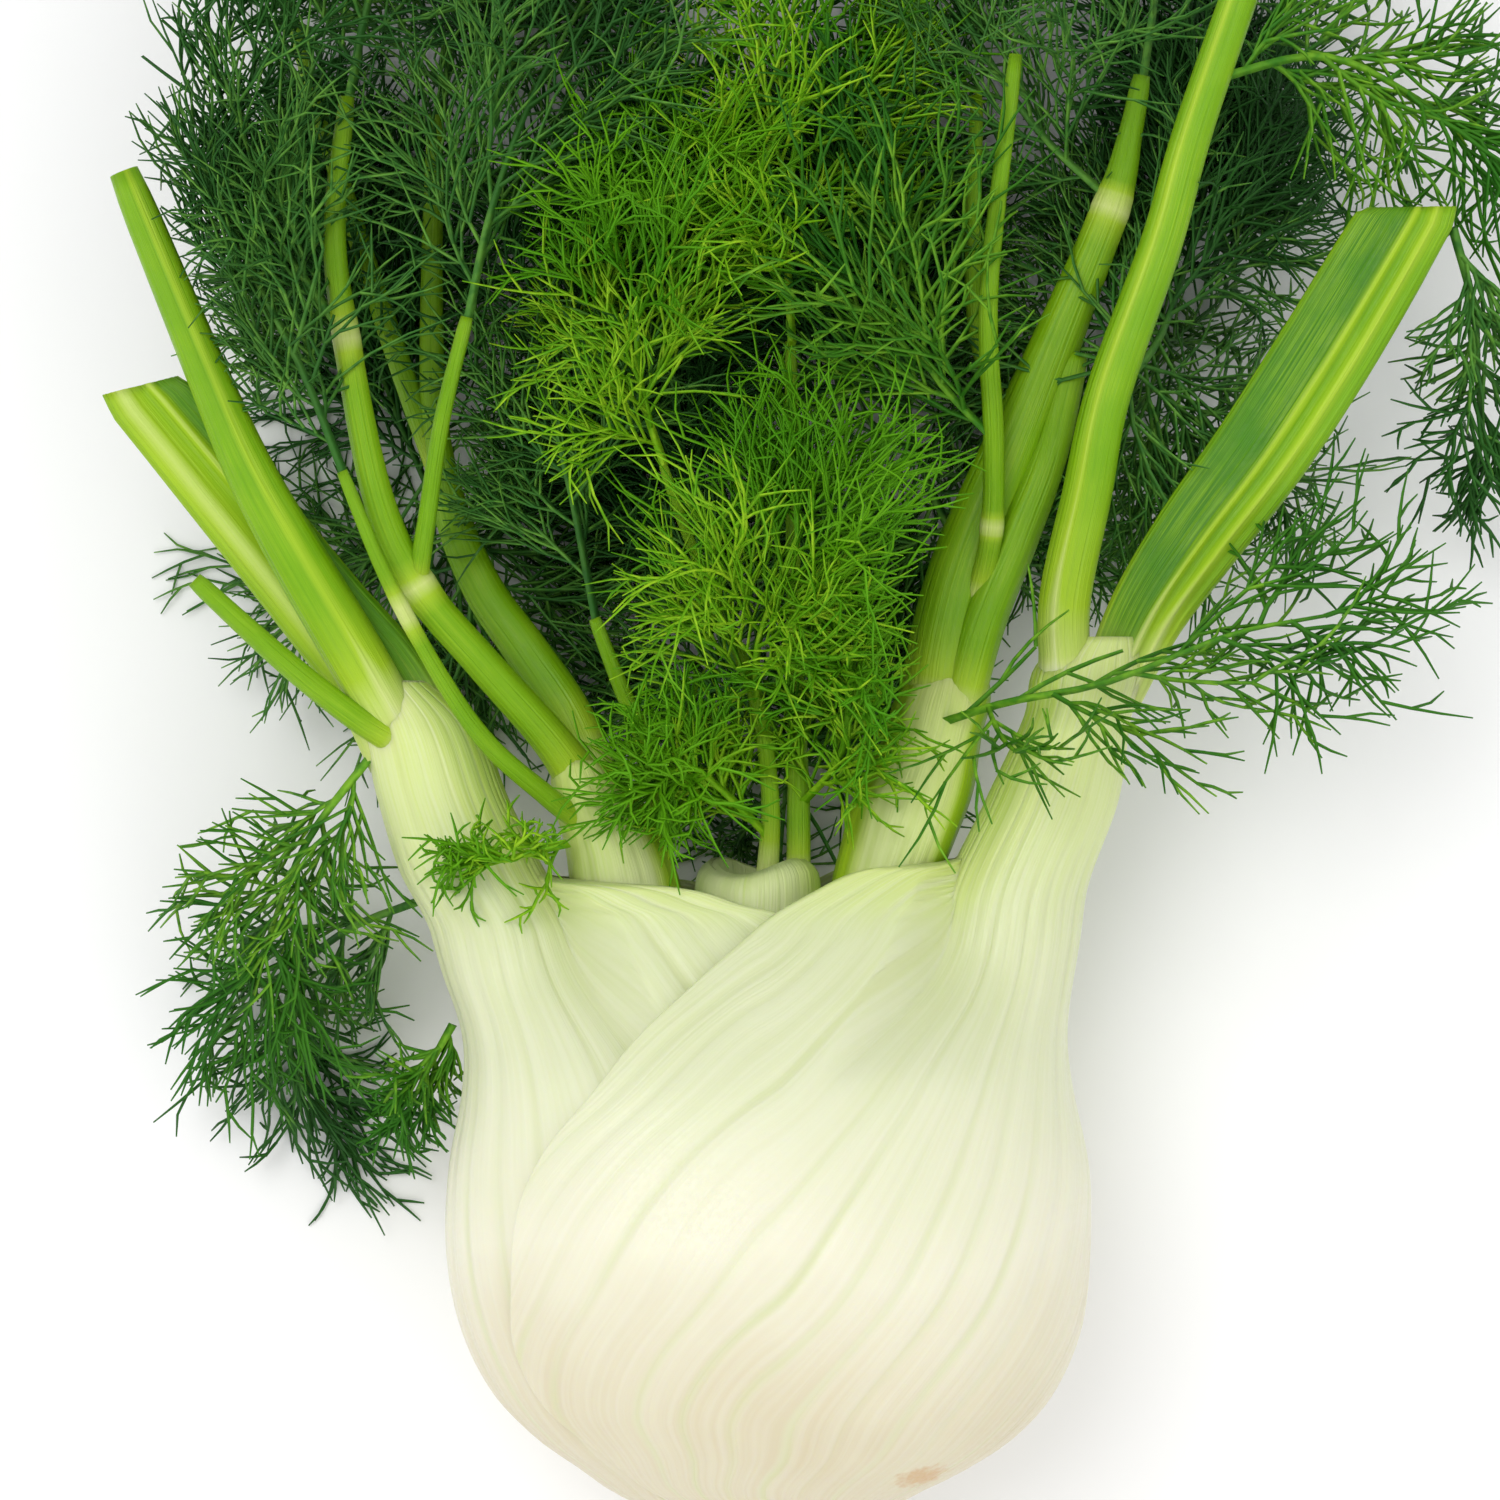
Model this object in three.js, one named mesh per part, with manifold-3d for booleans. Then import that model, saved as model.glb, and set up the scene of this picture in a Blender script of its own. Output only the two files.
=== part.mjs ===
// A whole fennel bulb with its cut stalks and feathery fronds, lying on its back.
// Millimetres, +Z up. The stalks point along +Y. The origin is the middle of the small
// flat spot on the underside of the bulb, where it rests.
import * as THREE from 'three';
import { mergeVertices } from 'three/addons/utils/BufferGeometryUtils.js';
import Module from 'manifold-3d';

const wasm = await Module();
wasm.setup();

// Driving dimensions
const BULB_WIDTH = 100;
const REST_FLATTENING = 1.0;
const SECTION_POWER = 2.3;
const LEAF_GAP = 1.3;
const SHEATH_THICKNESS = 5.2;
const MARGIN_THICKNESS = 1.2;
const THICKENING_LENGTH = 18;
const SHEATH_CLEARANCE = 0.55;
const RIB_DEPTH = 0.35;
const WING_SHARE = 0.15;
const WING_TURN = 0.72 * Math.PI;
const PETIOLE_REACH = 0.93 * Math.PI;
const NEEDLE_RADIUS = 0.45;
const NEEDLE_ROOT = 1.1;
const PINNA_RADIUS = 0.62;
const FROND_CLEARANCE = 0.7;
const FLOOR_CLEARANCE = 0.5;
const BULB_CLEARANCE = 1.2;
const FROND_SEED = 7;
const FROND_TOLERANCE = 0.06;
const LEAF_TOLERANCE = 0.08;
const RACHIS_BARS = 10;
const RACHIS_RADIUS = 0.9;
const RACHIS_TIP_RADIUS = 0.55;

// Outline of the bulb, bottom to shoulder: [y, left, right, back, front]
const BULB_OUTLINE = [
  [-42, -20, 20, 20, 53],
  [-39.5, -25, 24, 14.5, 58],
  [-36, -30, 31, 9.5, 62],
  [-31, -37, 38.5, 5, 66.5],
  [-24, -43.5, 44.5, 1.2, 71],
  [-14, -48.2, 48.5, -REST_FLATTENING, 74.5],
  [-2, -50.2, 49.7, -REST_FLATTENING, 76],
  [10, -49.8, 49.6, -REST_FLATTENING, 74],
  [22, -47.8, 47.3, -REST_FLATTENING, 70],
  [33, -47.6, 46.1, -REST_FLATTENING, 64],
  [42, -50, 46.5, 2.2, 59],
  [52, -52, 48.5, 8.5, 54],
  [60, -53, 50, 12, 51],
];

// Free edge of each outer sheath across the front, bottom to shoulder: [y, x]
const RIGHT_SHEATH_EDGE = [
  [-42, -8], [-37, -18], [-31, -25], [-24, -33.5], [-15, -38], [-6, -38.4], [4, -37.8],
  [10, -36], [16, -32.6], [23, -26.6], [32, -19.2], [40, -10.4], [46, -3.4],
  [49.8, 1.4], [53.6, 8.4], [55.8, 13.2], [57, 18], [57.6, 22],
];
const LEFT_SHEATH_EDGE = [
  [-42, 8], [-31, 20], [-15, 28], [0, 30], [15, 26], [30, 18], [40, 11], [46, 6],
  [49.8, 1.4], [51, -4.6], [53, -11], [54, -17], [54.6, -22],
];

// Petioles above the shoulder: [y, middle x, middle z, half width, half depth]
const RIGHT_PETIOLE = [
  [20, 36, 37, 12, 13],
  [51, 37.8, 37, 11.2, 11.5],
  [67, 43.9, 38, 10.3, 9.6],
  [80, 47.8, 39, 8.3, 8.4],
  [86, 49, 40, 8.6, 8.6],
  [89, 49.4, 40.5, 7.2, 7.4],
];
const LEFT_PETIOLE = [
  [20, -38, 37, 12, 13],
  [46, -41, 37, 11.6, 11.5],
  [56, -46.1, 37.5, 11.3, 10.4],
  [67, -50.5, 38, 10.2, 9.2],
  [76, -53, 38.5, 9.6, 8.6],
  [80, -54.4, 39, 8.2, 7.4],
];

// Inner leaves, from the root plate up: [y, middle x, middle z, half width, half depth]
const INNER_RIGHT = [
  [-40, 6.3, 37, 2.4, 4], [-30, 11, 37, 6, 10], [-15, 18, 37, 11.5, 17], [5, 21, 37, 13.5, 19],
  [28, 19.5, 36, 11.5, 16], [42, 17.6, 35.5, 8.8, 12], [53, 17.9, 35, 8.3, 11],
  [60, 20, 34.5, 8.8, 10], [68, 22.6, 34.5, 9.2, 9], [77, 25.6, 35, 7.4, 8],
  [82, 26.6, 35, 7.7, 8], [84, 27, 35, 6.4, 7],
];
const INNER_LEFT = [
  [-40, -6.3, 37, 2.4, 4], [-30, -12, 37, 6, 10], [-15, -21, 37, 10, 17], [5, -25.5, 37, 11.5, 19],
  [28, -23.5, 36, 9.5, 16], [42, -21.8, 35.5, 7.6, 11.5], [53, -22.3, 35.5, 8.6, 10.6],
  [60, -23.9, 36, 7.9, 10], [66, -26.4, 37, 7, 8.6], [71, -28.6, 38, 5.2, 6.4],
  [73, -29.3, 38.4, 3.6, 4.6],
];
const CENTRE_LEAF = [
  [-40, 0, 37, 2.6, 4.5], [-30, -0.5, 37, 4.2, 11], [-15, -1.8, 37, 7.2, 18],
  [5, -3, 37, 9, 20], [28, -2.8, 36, 9.2, 16], [42, -2.4, 35.5, 9.8, 12.5], [50, -1.8, 35.5, 9.9, 11.8],
  [55, -1.7, 35.5, 9.4, 11], [56.6, -1.7, 35.5, 7.6, 9],
];

// Shape helpers
const lerp = (a, b, k) => a + (b - a) * k;
const smooth = (low, high, value) => {
  const k = Math.min(1, Math.max(0, (value - low) / (high - low)));
  return k * k * (3 - 2 * k);
};

// Smooth reading of a table of rows [at, value, value, ...] at a place between its rows.
function readTable(table, at) {
  const last = table.length - 1;
  if (at <= table[0][0]) return table[0].slice(1);
  if (at >= table[last][0]) return table[last].slice(1);
  let i = 0;
  while (table[i + 1][0] < at) i++;
  const slope = (k, c) => {
    const low = table[Math.max(0, k - 1)];
    const high = table[Math.min(last, k + 1)];
    return (high[c] - low[c]) / (high[0] - low[0]);
  };
  const span = table[i + 1][0] - table[i][0];
  const u = (at - table[i][0]) / span;
  return table[i].slice(1).map((value, column) => {
    const c = column + 1;
    const next = table[i + 1][c];
    const rise = u * u * (3 - 2 * u);
    const start = u * (1 - u) * (1 - u) * span * slope(i, c);
    const end = u * u * (1 - u) * span * slope(i + 1, c);
    return lerp(value, next, rise) + start - end;
  });
}

// A closed mesh from indexed points.
function meshGeometry(points, triangles) {
  const geometry = new THREE.BufferGeometry();
  geometry.setAttribute('position', new THREE.Float32BufferAttribute(points.flat(), 3));
  geometry.setIndex(triangles);
  return geometry;
}

function toSolid(geometry) {
  const plain = geometry.clone();
  plain.deleteAttribute('normal');
  plain.deleteAttribute('uv');
  const merged = mergeVertices(plain, 1e-4);
  const mesh = new wasm.Mesh({
    numProp: 3,
    vertProperties: Float32Array.from(merged.attributes.position.array),
    triVerts: Uint32Array.from(merged.index.array),
  });
  return new wasm.Manifold(mesh);
}

function toGeometry(solid) {
  const mesh = solid.getMesh();
  const geometry = new THREE.BufferGeometry();
  geometry.setAttribute('position', new THREE.BufferAttribute(Float32Array.from(mesh.vertProperties), 3));
  geometry.setIndex(new THREE.BufferAttribute(Uint32Array.from(mesh.triVerts), 1));
  return geometry;
}

// Keeps only the largest body of a solid, so that no loose scrap is left beside it.
function largestBody(solid) {
  return solid.decompose().reduce((best, body) => (body.volume() > best.volume() ? body : best));
}

// Closed loft through rings of equal size. Each end is closed by a fan to its middle point.
function loftRings(rings) {
  const count = rings[0].length;
  const points = rings.flat();
  const triangles = [];
  for (let r = 0; r + 1 < rings.length; r++) {
    for (let j = 0; j < count; j++) {
      const a = r * count + j;
      const b = r * count + ((j + 1) % count);
      triangles.push(a, b, a + count, b, b + count, a + count);
    }
  }
  const middle = (ring) => [0, 1, 2].map((axis) => ring.reduce((sum, p) => sum + p[axis], 0) / count);
  const first = points.length;
  const lastRing = (rings.length - 1) * count;
  points.push(middle(rings[0]), middle(rings[rings.length - 1]));
  for (let j = 0; j < count; j++) {
    const next = (j + 1) % count;
    triangles.push(first, next, j);
    triangles.push(first + 1, lastRing + j, lastRing + next);
  }
  return meshGeometry(points, triangles);
}

// A point of the bulb's outside at a height y and section angle t, moved inwards by a depth.
function bulbPoint(y, t, depth) {
  const [left, right, back, front] = readTable(BULB_OUTLINE, y);
  const middleX = (left + right) / 2;
  const middleZ = (back + front) / 2;
  const bend = (value) => Math.sign(value) * Math.abs(value) ** (2 / SECTION_POWER);
  const dx = ((right - left) / 2) * bend(Math.cos(t));
  const dz = ((front - back) / 2) * bend(Math.sin(t));
  const keep = 1 - depth / Math.hypot(dx, dz);
  return [middleX + dx * keep, middleZ + dz * keep];
}

// The section angle at which the front of the bulb has a given x.
function angleAtX(y, x) {
  const [left, right] = readTable(BULB_OUTLINE, y);
  const share = Math.min(0.985, Math.max(-0.985, (x - (left + right) / 2) / ((right - left) / 2)));
  return Math.acos(Math.sign(share) * Math.abs(share) ** (SECTION_POWER / 2));
}

// A sheath thins from its thick side to its free edge.
const sheathThickness = (fromEdge) =>
  lerp(MARGIN_THICKNESS, SHEATH_THICKNESS, 1 - Math.exp(-Math.max(0, fromEdge) / THICKENING_LENGTH));

// How far the right sheath's outside, and the left one under it, lie inside the bulb outline.
function sheathDepth(side, y, t) {
  if (side > 0) return 0;
  const edge = angleAtX(y, readTable(RIGHT_SHEATH_EDGE, y)[0]);
  const around = Math.abs(Math.atan2(Math.sin(t), Math.cos(t)));
  const inside = ((edge - around) * BULB_WIDTH) / 2;
  const exposed = (MARGIN_THICKNESS + LEAF_GAP) * Math.exp(Math.min(0, inside) / 14);
  return inside > 0 ? sheathThickness(inside) + LEAF_GAP : exposed;
}

// The angle round the petiole at which a column of the sheath ends up. s runs from the front
// edge to the back one. The wings beside the petiole share its inner side.
function petioleTurn(s) {
  const fromSide = Math.min(s, 1 - s);
  const turn = fromSide < WING_SHARE
    ? lerp(PETIOLE_REACH, WING_TURN, fromSide / WING_SHARE)
    : lerp(WING_TURN, 0, (fromSide - WING_SHARE) / (0.5 - WING_SHARE));
  return s < 0.5 ? turn : -turn;
}

// One outer leaf: a sheath wrapped round the bulb whose thick side runs up into a petiole.
// side is 1 for the right leaf and -1 for the left one. ribs is the count of ribs on its outside.
// notch and lobe are the heights of the sheath's top edge beside the petiole and along its wing.
function outerLeaf({ side, edgeTable, petiole, heights, ribs, notch, lobe, swell = 0 }) {
  const outerCount = ribs * 3 + 1;
  const innerCount = ribs + 1;
  const rings = heights.map((y) => {
    const [edgeX] = readTable(edgeTable, y);
    const [stemX, stemZ, stemHalfWidth, stemHalfDepth] = readTable(petiole, y);
    const edgeAngle = angleAtX(y, edgeX);
    const sweep = (side > 0 ? edgeAngle : Math.PI - edgeAngle) + (2 * swell) / BULB_WIDTH;
    const place = (s, inner) => {
      const turn = lerp(sweep, -sweep, s);
      const t = side > 0 ? turn : Math.PI - turn;
      const fromSide = Math.min(s, 1 - s);
      const fromEdge = (fromSide * 2 * sweep * BULB_WIDTH) / 2;
      const groove = inner ? 0 : RIB_DEPTH * (Math.round(s * (outerCount - 1)) % 3 === 0 ? 1 : 0);
      const depth = sheathDepth(side, y, t) + (inner ? sheathThickness(fromEdge) + swell : groove - swell);
      const [sheathX, sheathZ] = bulbPoint(y, t, depth);
      const wing = Math.max(0, 1 - fromSide / WING_SHARE);
      const folded = smooth(0, 0.15, wing);
      const fold = lerp(notch, lobe, smooth(0, 0.35, wing));
      const blend = smooth(lerp(24, fold - 1.5, folded), lerp(50, fold + 2.5, folded), y);
      const stemTurn = petioleTurn(s);
      const ridge = 1 - groove / 12;
      const x = stemX + side * stemHalfWidth * (inner ? -0.88 : ridge * Math.cos(stemTurn));
      const z = stemZ + stemHalfDepth * (inner ? lerp(0.16, -0.16, s) : ridge * Math.sin(stemTurn));
      return [lerp(sheathX, x, blend), y, Math.max(0, lerp(sheathZ, z, blend))];
    };
    const outer = Array.from({ length: outerCount }, (_, j) => place(j / (outerCount - 1), false));
    const inner = Array.from({ length: innerCount }, (_, j) => place(1 - j / (innerCount - 1), true));
    return side > 0 ? [...outer, ...inner] : [...outer, ...inner].reverse();
  });
  return crescentLoft(rings, outerCount, innerCount, side);
}

// Joins crescent rings, and closes each end with a strip between its outer and inner arcs.
function crescentLoft(rings, outerCount, innerCount, side) {
  const count = outerCount + innerCount;
  const points = rings.flat();
  const triangles = [];
  for (let r = 0; r + 1 < rings.length; r++) {
    for (let j = 0; j < count; j++) {
      const a = r * count + j;
      const b = r * count + ((j + 1) % count);
      triangles.push(a, b, a + count, b, b + count, a + count);
    }
  }
  const at = (j) => (side > 0 ? j : count - 1 - j);
  const cap = (base, flip) => {
    const add = (a, b, c) => triangles.push(...(flip === side > 0 ? [a, b, c] : [a, c, b]));
    for (let k = 0; k + 1 < innerCount; k++) {
      const low = base + at(count - 1 - k);
      const high = base + at(count - 2 - k);
      const outer = [0, 1, 2, 3].map((step) => base + at(k * 3 + step));
      add(low, outer[0], outer[1]);
      add(low, outer[1], outer[2]);
      add(low, outer[2], high);
      add(high, outer[2], outer[3]);
    }
  };
  cap(0, false);
  cap((rings.length - 1) * count, true);
  return meshGeometry(points, triangles);
}

// One inner leaf: round sections from the root plate up through the petiole, lightly ribbed.
function innerLeaf(table, steps, sides, swell = 0) {
  const bottom = table[0][0];
  const top = table[table.length - 1][0];
  const rings = [];
  for (let r = 0; r <= steps; r++) {
    const y = lerp(bottom, top, r / steps);
    const [x, z, baseWidth, baseDepth] = readTable(table, y);
    const halfWidth = baseWidth + swell;
    const halfDepth = baseDepth + swell;
    const ring = [];
    for (let j = 0; j < sides; j++) {
      const turn = (-2 * Math.PI * j) / sides;
      const ridge = j % 2 === 0 ? 1 : 0.965;
      ring.push([x + halfWidth * ridge * Math.cos(turn), y, z + halfDepth * ridge * Math.sin(turn)]);
    }
    rings.push(ring);
  }
  return loftRings(rings);
}

// A stalk along hand-set points: [x, y, z, half width, half depth]. channel hollows its upper face.
function stalk(points, { sides = 8, channel = 0, steps = 7 } = {}) {
  const table = points.map((point, index) => [index, ...point]);
  const rings = [];
  for (let r = 0; r <= steps; r++) {
    const at = ((points.length - 1) * r) / steps;
    const [x, y, z, halfWidth, halfDepth] = readTable(table, at);
    const ahead = readTable(table, Math.min(points.length - 1, at + 0.05));
    const behind = readTable(table, Math.max(0, at - 0.05));
    const along = new THREE.Vector3(ahead[0] - behind[0], ahead[1] - behind[1], ahead[2] - behind[2]);
    along.normalize();
    const across = new THREE.Vector3().crossVectors(along, new THREE.Vector3(0, 0, 1)).normalize();
    const up = new THREE.Vector3().crossVectors(across, along);
    const ring = [];
    for (let j = 0; j < sides; j++) {
      const turn = (-2 * Math.PI * j) / sides;
      const side = Math.cos(turn) * halfWidth;
      const dip = Math.sin(turn) > 0 ? channel * (1 - Math.cos(turn) ** 2) * halfDepth : 0;
      const ridge = j % 2 === 0 ? 1 : 0.94;
      const rise = Math.sin(turn) * halfDepth * ridge - dip;
      const place = new THREE.Vector3(x, y, z).addScaledVector(across, side * ridge);
      ring.push(place.addScaledVector(up, rise).toArray());
    }
    rings.push(ring);
  }
  return loftRings(rings);
}

const fuse = (geometries) => geometries.map(toSolid).reduce((all, solid) => all.add(solid));

// Everything that fronds keep clear of: round bars, each with the name of the node it belongs to.
const bars = [];
function addBar(owner, from, to, radius) {
  bars.push({ owner, from: new THREE.Vector3(...from), to: new THREE.Vector3(...to), radius });
}
function addBars(owner, points) {
  for (let i = 0; i + 1 < points.length; i++) {
    const radius = Math.max(...points[i].slice(3), ...points[i + 1].slice(3));
    addBar(owner, points[i].slice(0, 3), points[i + 1].slice(0, 3), radius);
  }
}

// Shortest distance between two straight lines, each from one point to another.
function barDistance(fromA, toA, fromB, toB) {
  const alongA = toA.clone().sub(fromA);
  const alongB = toB.clone().sub(fromB);
  const offset = fromA.clone().sub(fromB);
  const aa = alongA.dot(alongA);
  const bb = alongB.dot(alongB);
  const ab = alongA.dot(alongB);
  const ao = alongA.dot(offset);
  const bo = alongB.dot(offset);
  const clamp = (value) => Math.min(1, Math.max(0, value));
  const spread = aa * bb - ab * ab;
  let onA = spread > 1e-9 ? clamp((ab * bo - ao * bb) / spread) : 0;
  const onB = clamp((ab * onA + bo) / bb);
  onA = clamp((ab * onB - ao) / aa);
  return offset.addScaledVector(alongA, onA).addScaledVector(alongB, -onB).length();
}

// True where a point lies in the bulb or too near to it.
function touchesBulb(point) {
  const [left, right, back, front] = readTable(BULB_OUTLINE, point.y);
  if (point.y < -44 || point.y > 59) return false;
  const x = Math.abs(point.x - (left + right) / 2) / ((right - left) / 2 + BULB_CLEARANCE);
  const z = Math.abs(point.z - (back + front) / 2) / ((front - back) / 2 + BULB_CLEARANCE);
  return x ** SECTION_POWER + z ** SECTION_POWER < 1;
}

// True where a thin bar of a frond keeps clear of the surface, the bulb and every other node.
function isClear(owner, from, to, radius) {
  if (Math.min(from.z, to.z) < radius + FLOOR_CLEARANCE) return false;
  for (let k = 1; k <= 6; k++) {
    if (touchesBulb(from.clone().lerp(to, k / 6))) return false;
  }
  return bars.every((bar) => bar.owner === owner
    || barDistance(from, to, bar.from, bar.to) > radius + bar.radius + FROND_CLEARANCE);
}

// Seeded random numbers from 0 to 1.
function randomFrom(seed) {
  let state = seed;
  return () => {
    state = (state + 0x6d2b79f5) | 0;
    let mixed = Math.imul(state ^ (state >>> 15), 1 | state);
    mixed = (mixed + Math.imul(mixed ^ (mixed >>> 7), 61 | mixed)) ^ mixed;
    return ((mixed ^ (mixed >>> 14)) >>> 0) / 4294967296;
  };
}

// A three-sided branch from its root to its pointed tip, with needles raised from its two upper
// faces. needles: pairs of { share, tips }, each tip a point or null where no needle fits.
function needledBranch(from, to, radius, pairs) {
  const along = to.clone().sub(from);
  const length = along.length();
  along.normalize();
  const across = new THREE.Vector3().crossVectors(along, new THREE.Vector3(0, 0, 1)).normalize();
  const up = new THREE.Vector3().crossVectors(across, along);
  const points = [];
  const triangles = [];
  const addRing = (share) => {
    const size = radius * (1 - 0.45 * share);
    for (let j = 0; j < 3; j++) {
      const turn = Math.PI / 2 - (2 * Math.PI * j) / 3;
      const corner = from.clone().addScaledVector(along, share * length);
      corner.addScaledVector(across, Math.cos(turn) * size).addScaledVector(up, Math.sin(turn) * size);
      points.push(corner.toArray());
    }
    return points.length - 3;
  };
  const addBand = (low, high, tips) => {
    for (let j = 0; j < 3; j++) {
      const next = (j + 1) % 3;
      const tip = j === 0 ? tips[0] : j === 2 ? tips[1] : null;
      if (tip) {
        const peak = points.push(tip.toArray()) - 1;
        triangles.push(low + j, low + next, peak, low + next, high + next, peak);
        triangles.push(high + next, high + j, peak, high + j, low + j, peak);
      } else {
        triangles.push(low + j, low + next, high + j, low + next, high + next, high + j);
      }
    }
  };
  let last = addRing(0);
  triangles.push(last + 2, last + 1, last);
  for (const { share, tips } of pairs) {
    const low = addRing(share);
    addBand(last, low, []);
    last = addRing(share + NEEDLE_ROOT / length);
    addBand(low, last, tips);
  }
  const peak = points.push(to.toArray()) - 1;
  for (let j = 0; j < 3; j++) triangles.push(last + j, last + ((j + 1) % 3), peak);
  return meshGeometry(points, triangles);
}

// A direction that leaves a stem at an angle, to one side, rolled about the stem.
function branchDirection(along, sideSign, angle, roll) {
  const level = new THREE.Vector3(0, 0, 1);
  const across = new THREE.Vector3().crossVectors(along, level).normalize().multiplyScalar(sideSign);
  const up = new THREE.Vector3().crossVectors(across, along).multiplyScalar(sideSign);
  return along.clone().multiplyScalar(Math.cos(angle))
    .addScaledVector(across, Math.sin(angle) * Math.cos(roll))
    .addScaledVector(up, Math.sin(angle) * Math.sin(roll));
}

// Tries a branch at several rolls and lengths, and returns its tip where one keeps clear.
function findTip(owner, from, along, sideSign, angle, roll, length, radius) {
  for (const share of [1, 0.75, 0.5]) {
    for (const extra of [0, 0.7, -0.7, 1.4, -1.4]) {
      const direction = branchDirection(along, sideSign, angle, roll + extra);
      const to = from.clone().addScaledVector(direction, length * share);
      if (isClear(owner, from, to, radius)) return to;
    }
  }
  return null;
}

// The stem of a frond as stalk points, thinning to its tip.
function rachisRows(path, thickness) {
  return path.map((point, i) => {
    const radius = lerp(thickness, RACHIS_TIP_RADIUS, i / (path.length - 1));
    return [...point, radius, radius];
  });
}

// One frond: a slim bent stem with pointed side branches, each set with pairs of needles.
// path: [x, y, z] points. branches, reach, pairs and needleLength set how full and wide it is.
function frond({ name, path, thickness = RACHIS_RADIUS, branches, reach, pairs, needleLength, seed }) {
  const random = randomFrom(FROND_SEED + seed);
  const rows = rachisRows(path, thickness);
  const pieces = [stalk(rows, { sides: 3, steps: (path.length - 1) * 2 })];
  const table = rows.map((row, index) => [index, ...row]);
  const rowAt = (u) => readTable(table, u * (path.length - 1));
  const at = (u) => new THREE.Vector3(...rowAt(u).slice(0, 3));
  const grow = (from, along, sideSign, length, radius, roll) => {
    const angle = lerp(0.6, 1.0, random());
    const tip = findTip(name, from, along, sideSign, angle, roll, length, radius);
    if (tip) addBar(name, from.toArray(), tip.toArray(), radius);
    return tip;
  };
  for (let i = 0; i < branches; i++) {
    const u = lerp(0.14, 0.97, i / (branches - 1));
    const from = at(u);
    const along = at(Math.min(1, u + 0.04)).sub(at(u - 0.04)).normalize();
    const length = reach * lerp(0.75, 1.1, random()) * Math.sin(Math.PI * lerp(0.22, 0.82, u)) ** 0.7;
    const roll = (random() - 0.5) * 2.4;
    const tip = grow(from, along, i % 2 === 0 ? 1 : -1, length, PINNA_RADIUS, roll);
    if (!tip) continue;
    const branchAlong = tip.clone().sub(from).normalize();
    const needlePairs = [];
    for (let k = 0; k < pairs; k++) {
      const share = lerp(0.3, 0.82, pairs > 1 ? k / (pairs - 1) : 0);
      const root = from.clone().lerp(tip, share);
      const tips = [1, -1].map((side) => {
        const needle = needleLength * lerp(1.15, 0.75, share) * lerp(0.8, 1.2, random());
        return grow(root, branchAlong, side, needle, NEEDLE_RADIUS, side * lerp(-0.4, 1.1, random()));
      });
      needlePairs.push({ share, tips });
    }
    pieces.push(needledBranch(from, tip, PINNA_RADIUS, needlePairs));
  }
  return largestBody(fuse(pieces)).simplify(FROND_TOLERANCE);
}

const OUTER_HEIGHTS = [-42, -39.5, -35, -27, -14, 3, 20, 32, 40, 46, 49, 51.5, 54, 56.5, 59];

const rightLeafShape = {
  side: 1,
  edgeTable: RIGHT_SHEATH_EDGE,
  petiole: RIGHT_PETIOLE,
  heights: [...OUTER_HEIGHTS, 67, 78, 86, 89],
  ribs: 14,
  notch: 51,
  lobe: 57,
};
const leftLeafShape = {
  side: -1,
  edgeTable: LEFT_SHEATH_EDGE,
  petiole: LEFT_PETIOLE,
  heights: [...OUTER_HEIGHTS, 67, 76, 80],
  ribs: 11,
  notch: 47,
  lobe: 54.3,
};

// Bare stalks of each leaf: [x, y, z, half width, half depth] along each
const RIGHT_LONG_STALK = [
  [46, 84, 41, 4, 4], [45.3, 97, 44.5, 4, 3.8], [48.4, 113.5, 49, 3.8, 3.4], [51.5, 129, 51.5, 3.5, 3.1],
  [59.2, 151, 54, 3.2, 2.8], [63.9, 168, 55.5, 3, 2.6],
  [71.7, 191, 57.5, 2.8, 2.4], [82.5, 223, 60, 2.5, 2.2],
];
const RIGHT_WIDE_STALK = [
  [52.5, 83, 40, 5, 5], [58, 95.5, 43, 6, 4.6], [65.5, 107, 45, 6.9, 4.4], [75, 120, 47, 7.4, 4.2],
  [84, 134, 49, 7.5, 4], [92, 147.5, 51, 7.3, 3.8], [97.5, 157, 52, 6.8, 3.4],
];
const LEFT_WIDE_STALK = [
  [-54.5, 75, 38.5, 7, 6], [-60.5, 86, 40, 7, 5],
  [-68.5, 96, 41.5, 7.1, 4.4], [-76.5, 106, 42.5, 6.9, 4],
  [-84.5, 116, 43.5, 6.8, 3.8], [-96.5, 130.5, 45, 6.3, 3.4],
];
const LEFT_SLIM_STALK = [
  [-58, 79, 41, 4.4, 4], [-64, 90, 45, 4.6, 4], [-72, 104, 48.5, 4.3, 3.7], [-79, 117, 50.5, 3.8, 3.3],
  [-85, 131, 52, 3.3, 3], [-97.6, 162, 54.5, 2.6, 2.4],
];
const LEFT_THIN_STALK = [
  [-56, 75, 42, 2.4, 2.4], [-64, 80, 45, 2.1, 2.1],
  [-74.5, 88.5, 47.5, 1.9, 1.8], [-87.5, 100.5, 50, 1.5, 1.4],
];
const INNER_RIGHT_WIDE = [
  [26.2, 78, 35, 6.4, 5.6], [27.5, 90, 35.5, 6, 5], [31, 104, 36, 5.6, 4.4], [38.3, 122, 36.5, 4.9, 4],
  [45.5, 140, 37, 3.8, 3.4], [53.3, 159.4, 37.5, 2.8, 2.6],
  [56, 170, 38, 1.9, 1.9], [57.7, 179, 39, 1.5, 1.5],
];
const INNER_RIGHT_SLIM = [
  [29, 79, 37, 3.6, 3.6], [33, 94, 38.5, 3.6, 3.4],
  [38.5, 107.5, 39, 3.3, 3.1], [43.5, 120.5, 38.5, 2.8, 2.6],
  [47.5, 136, 37.5, 2.2, 2.2],
];
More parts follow.
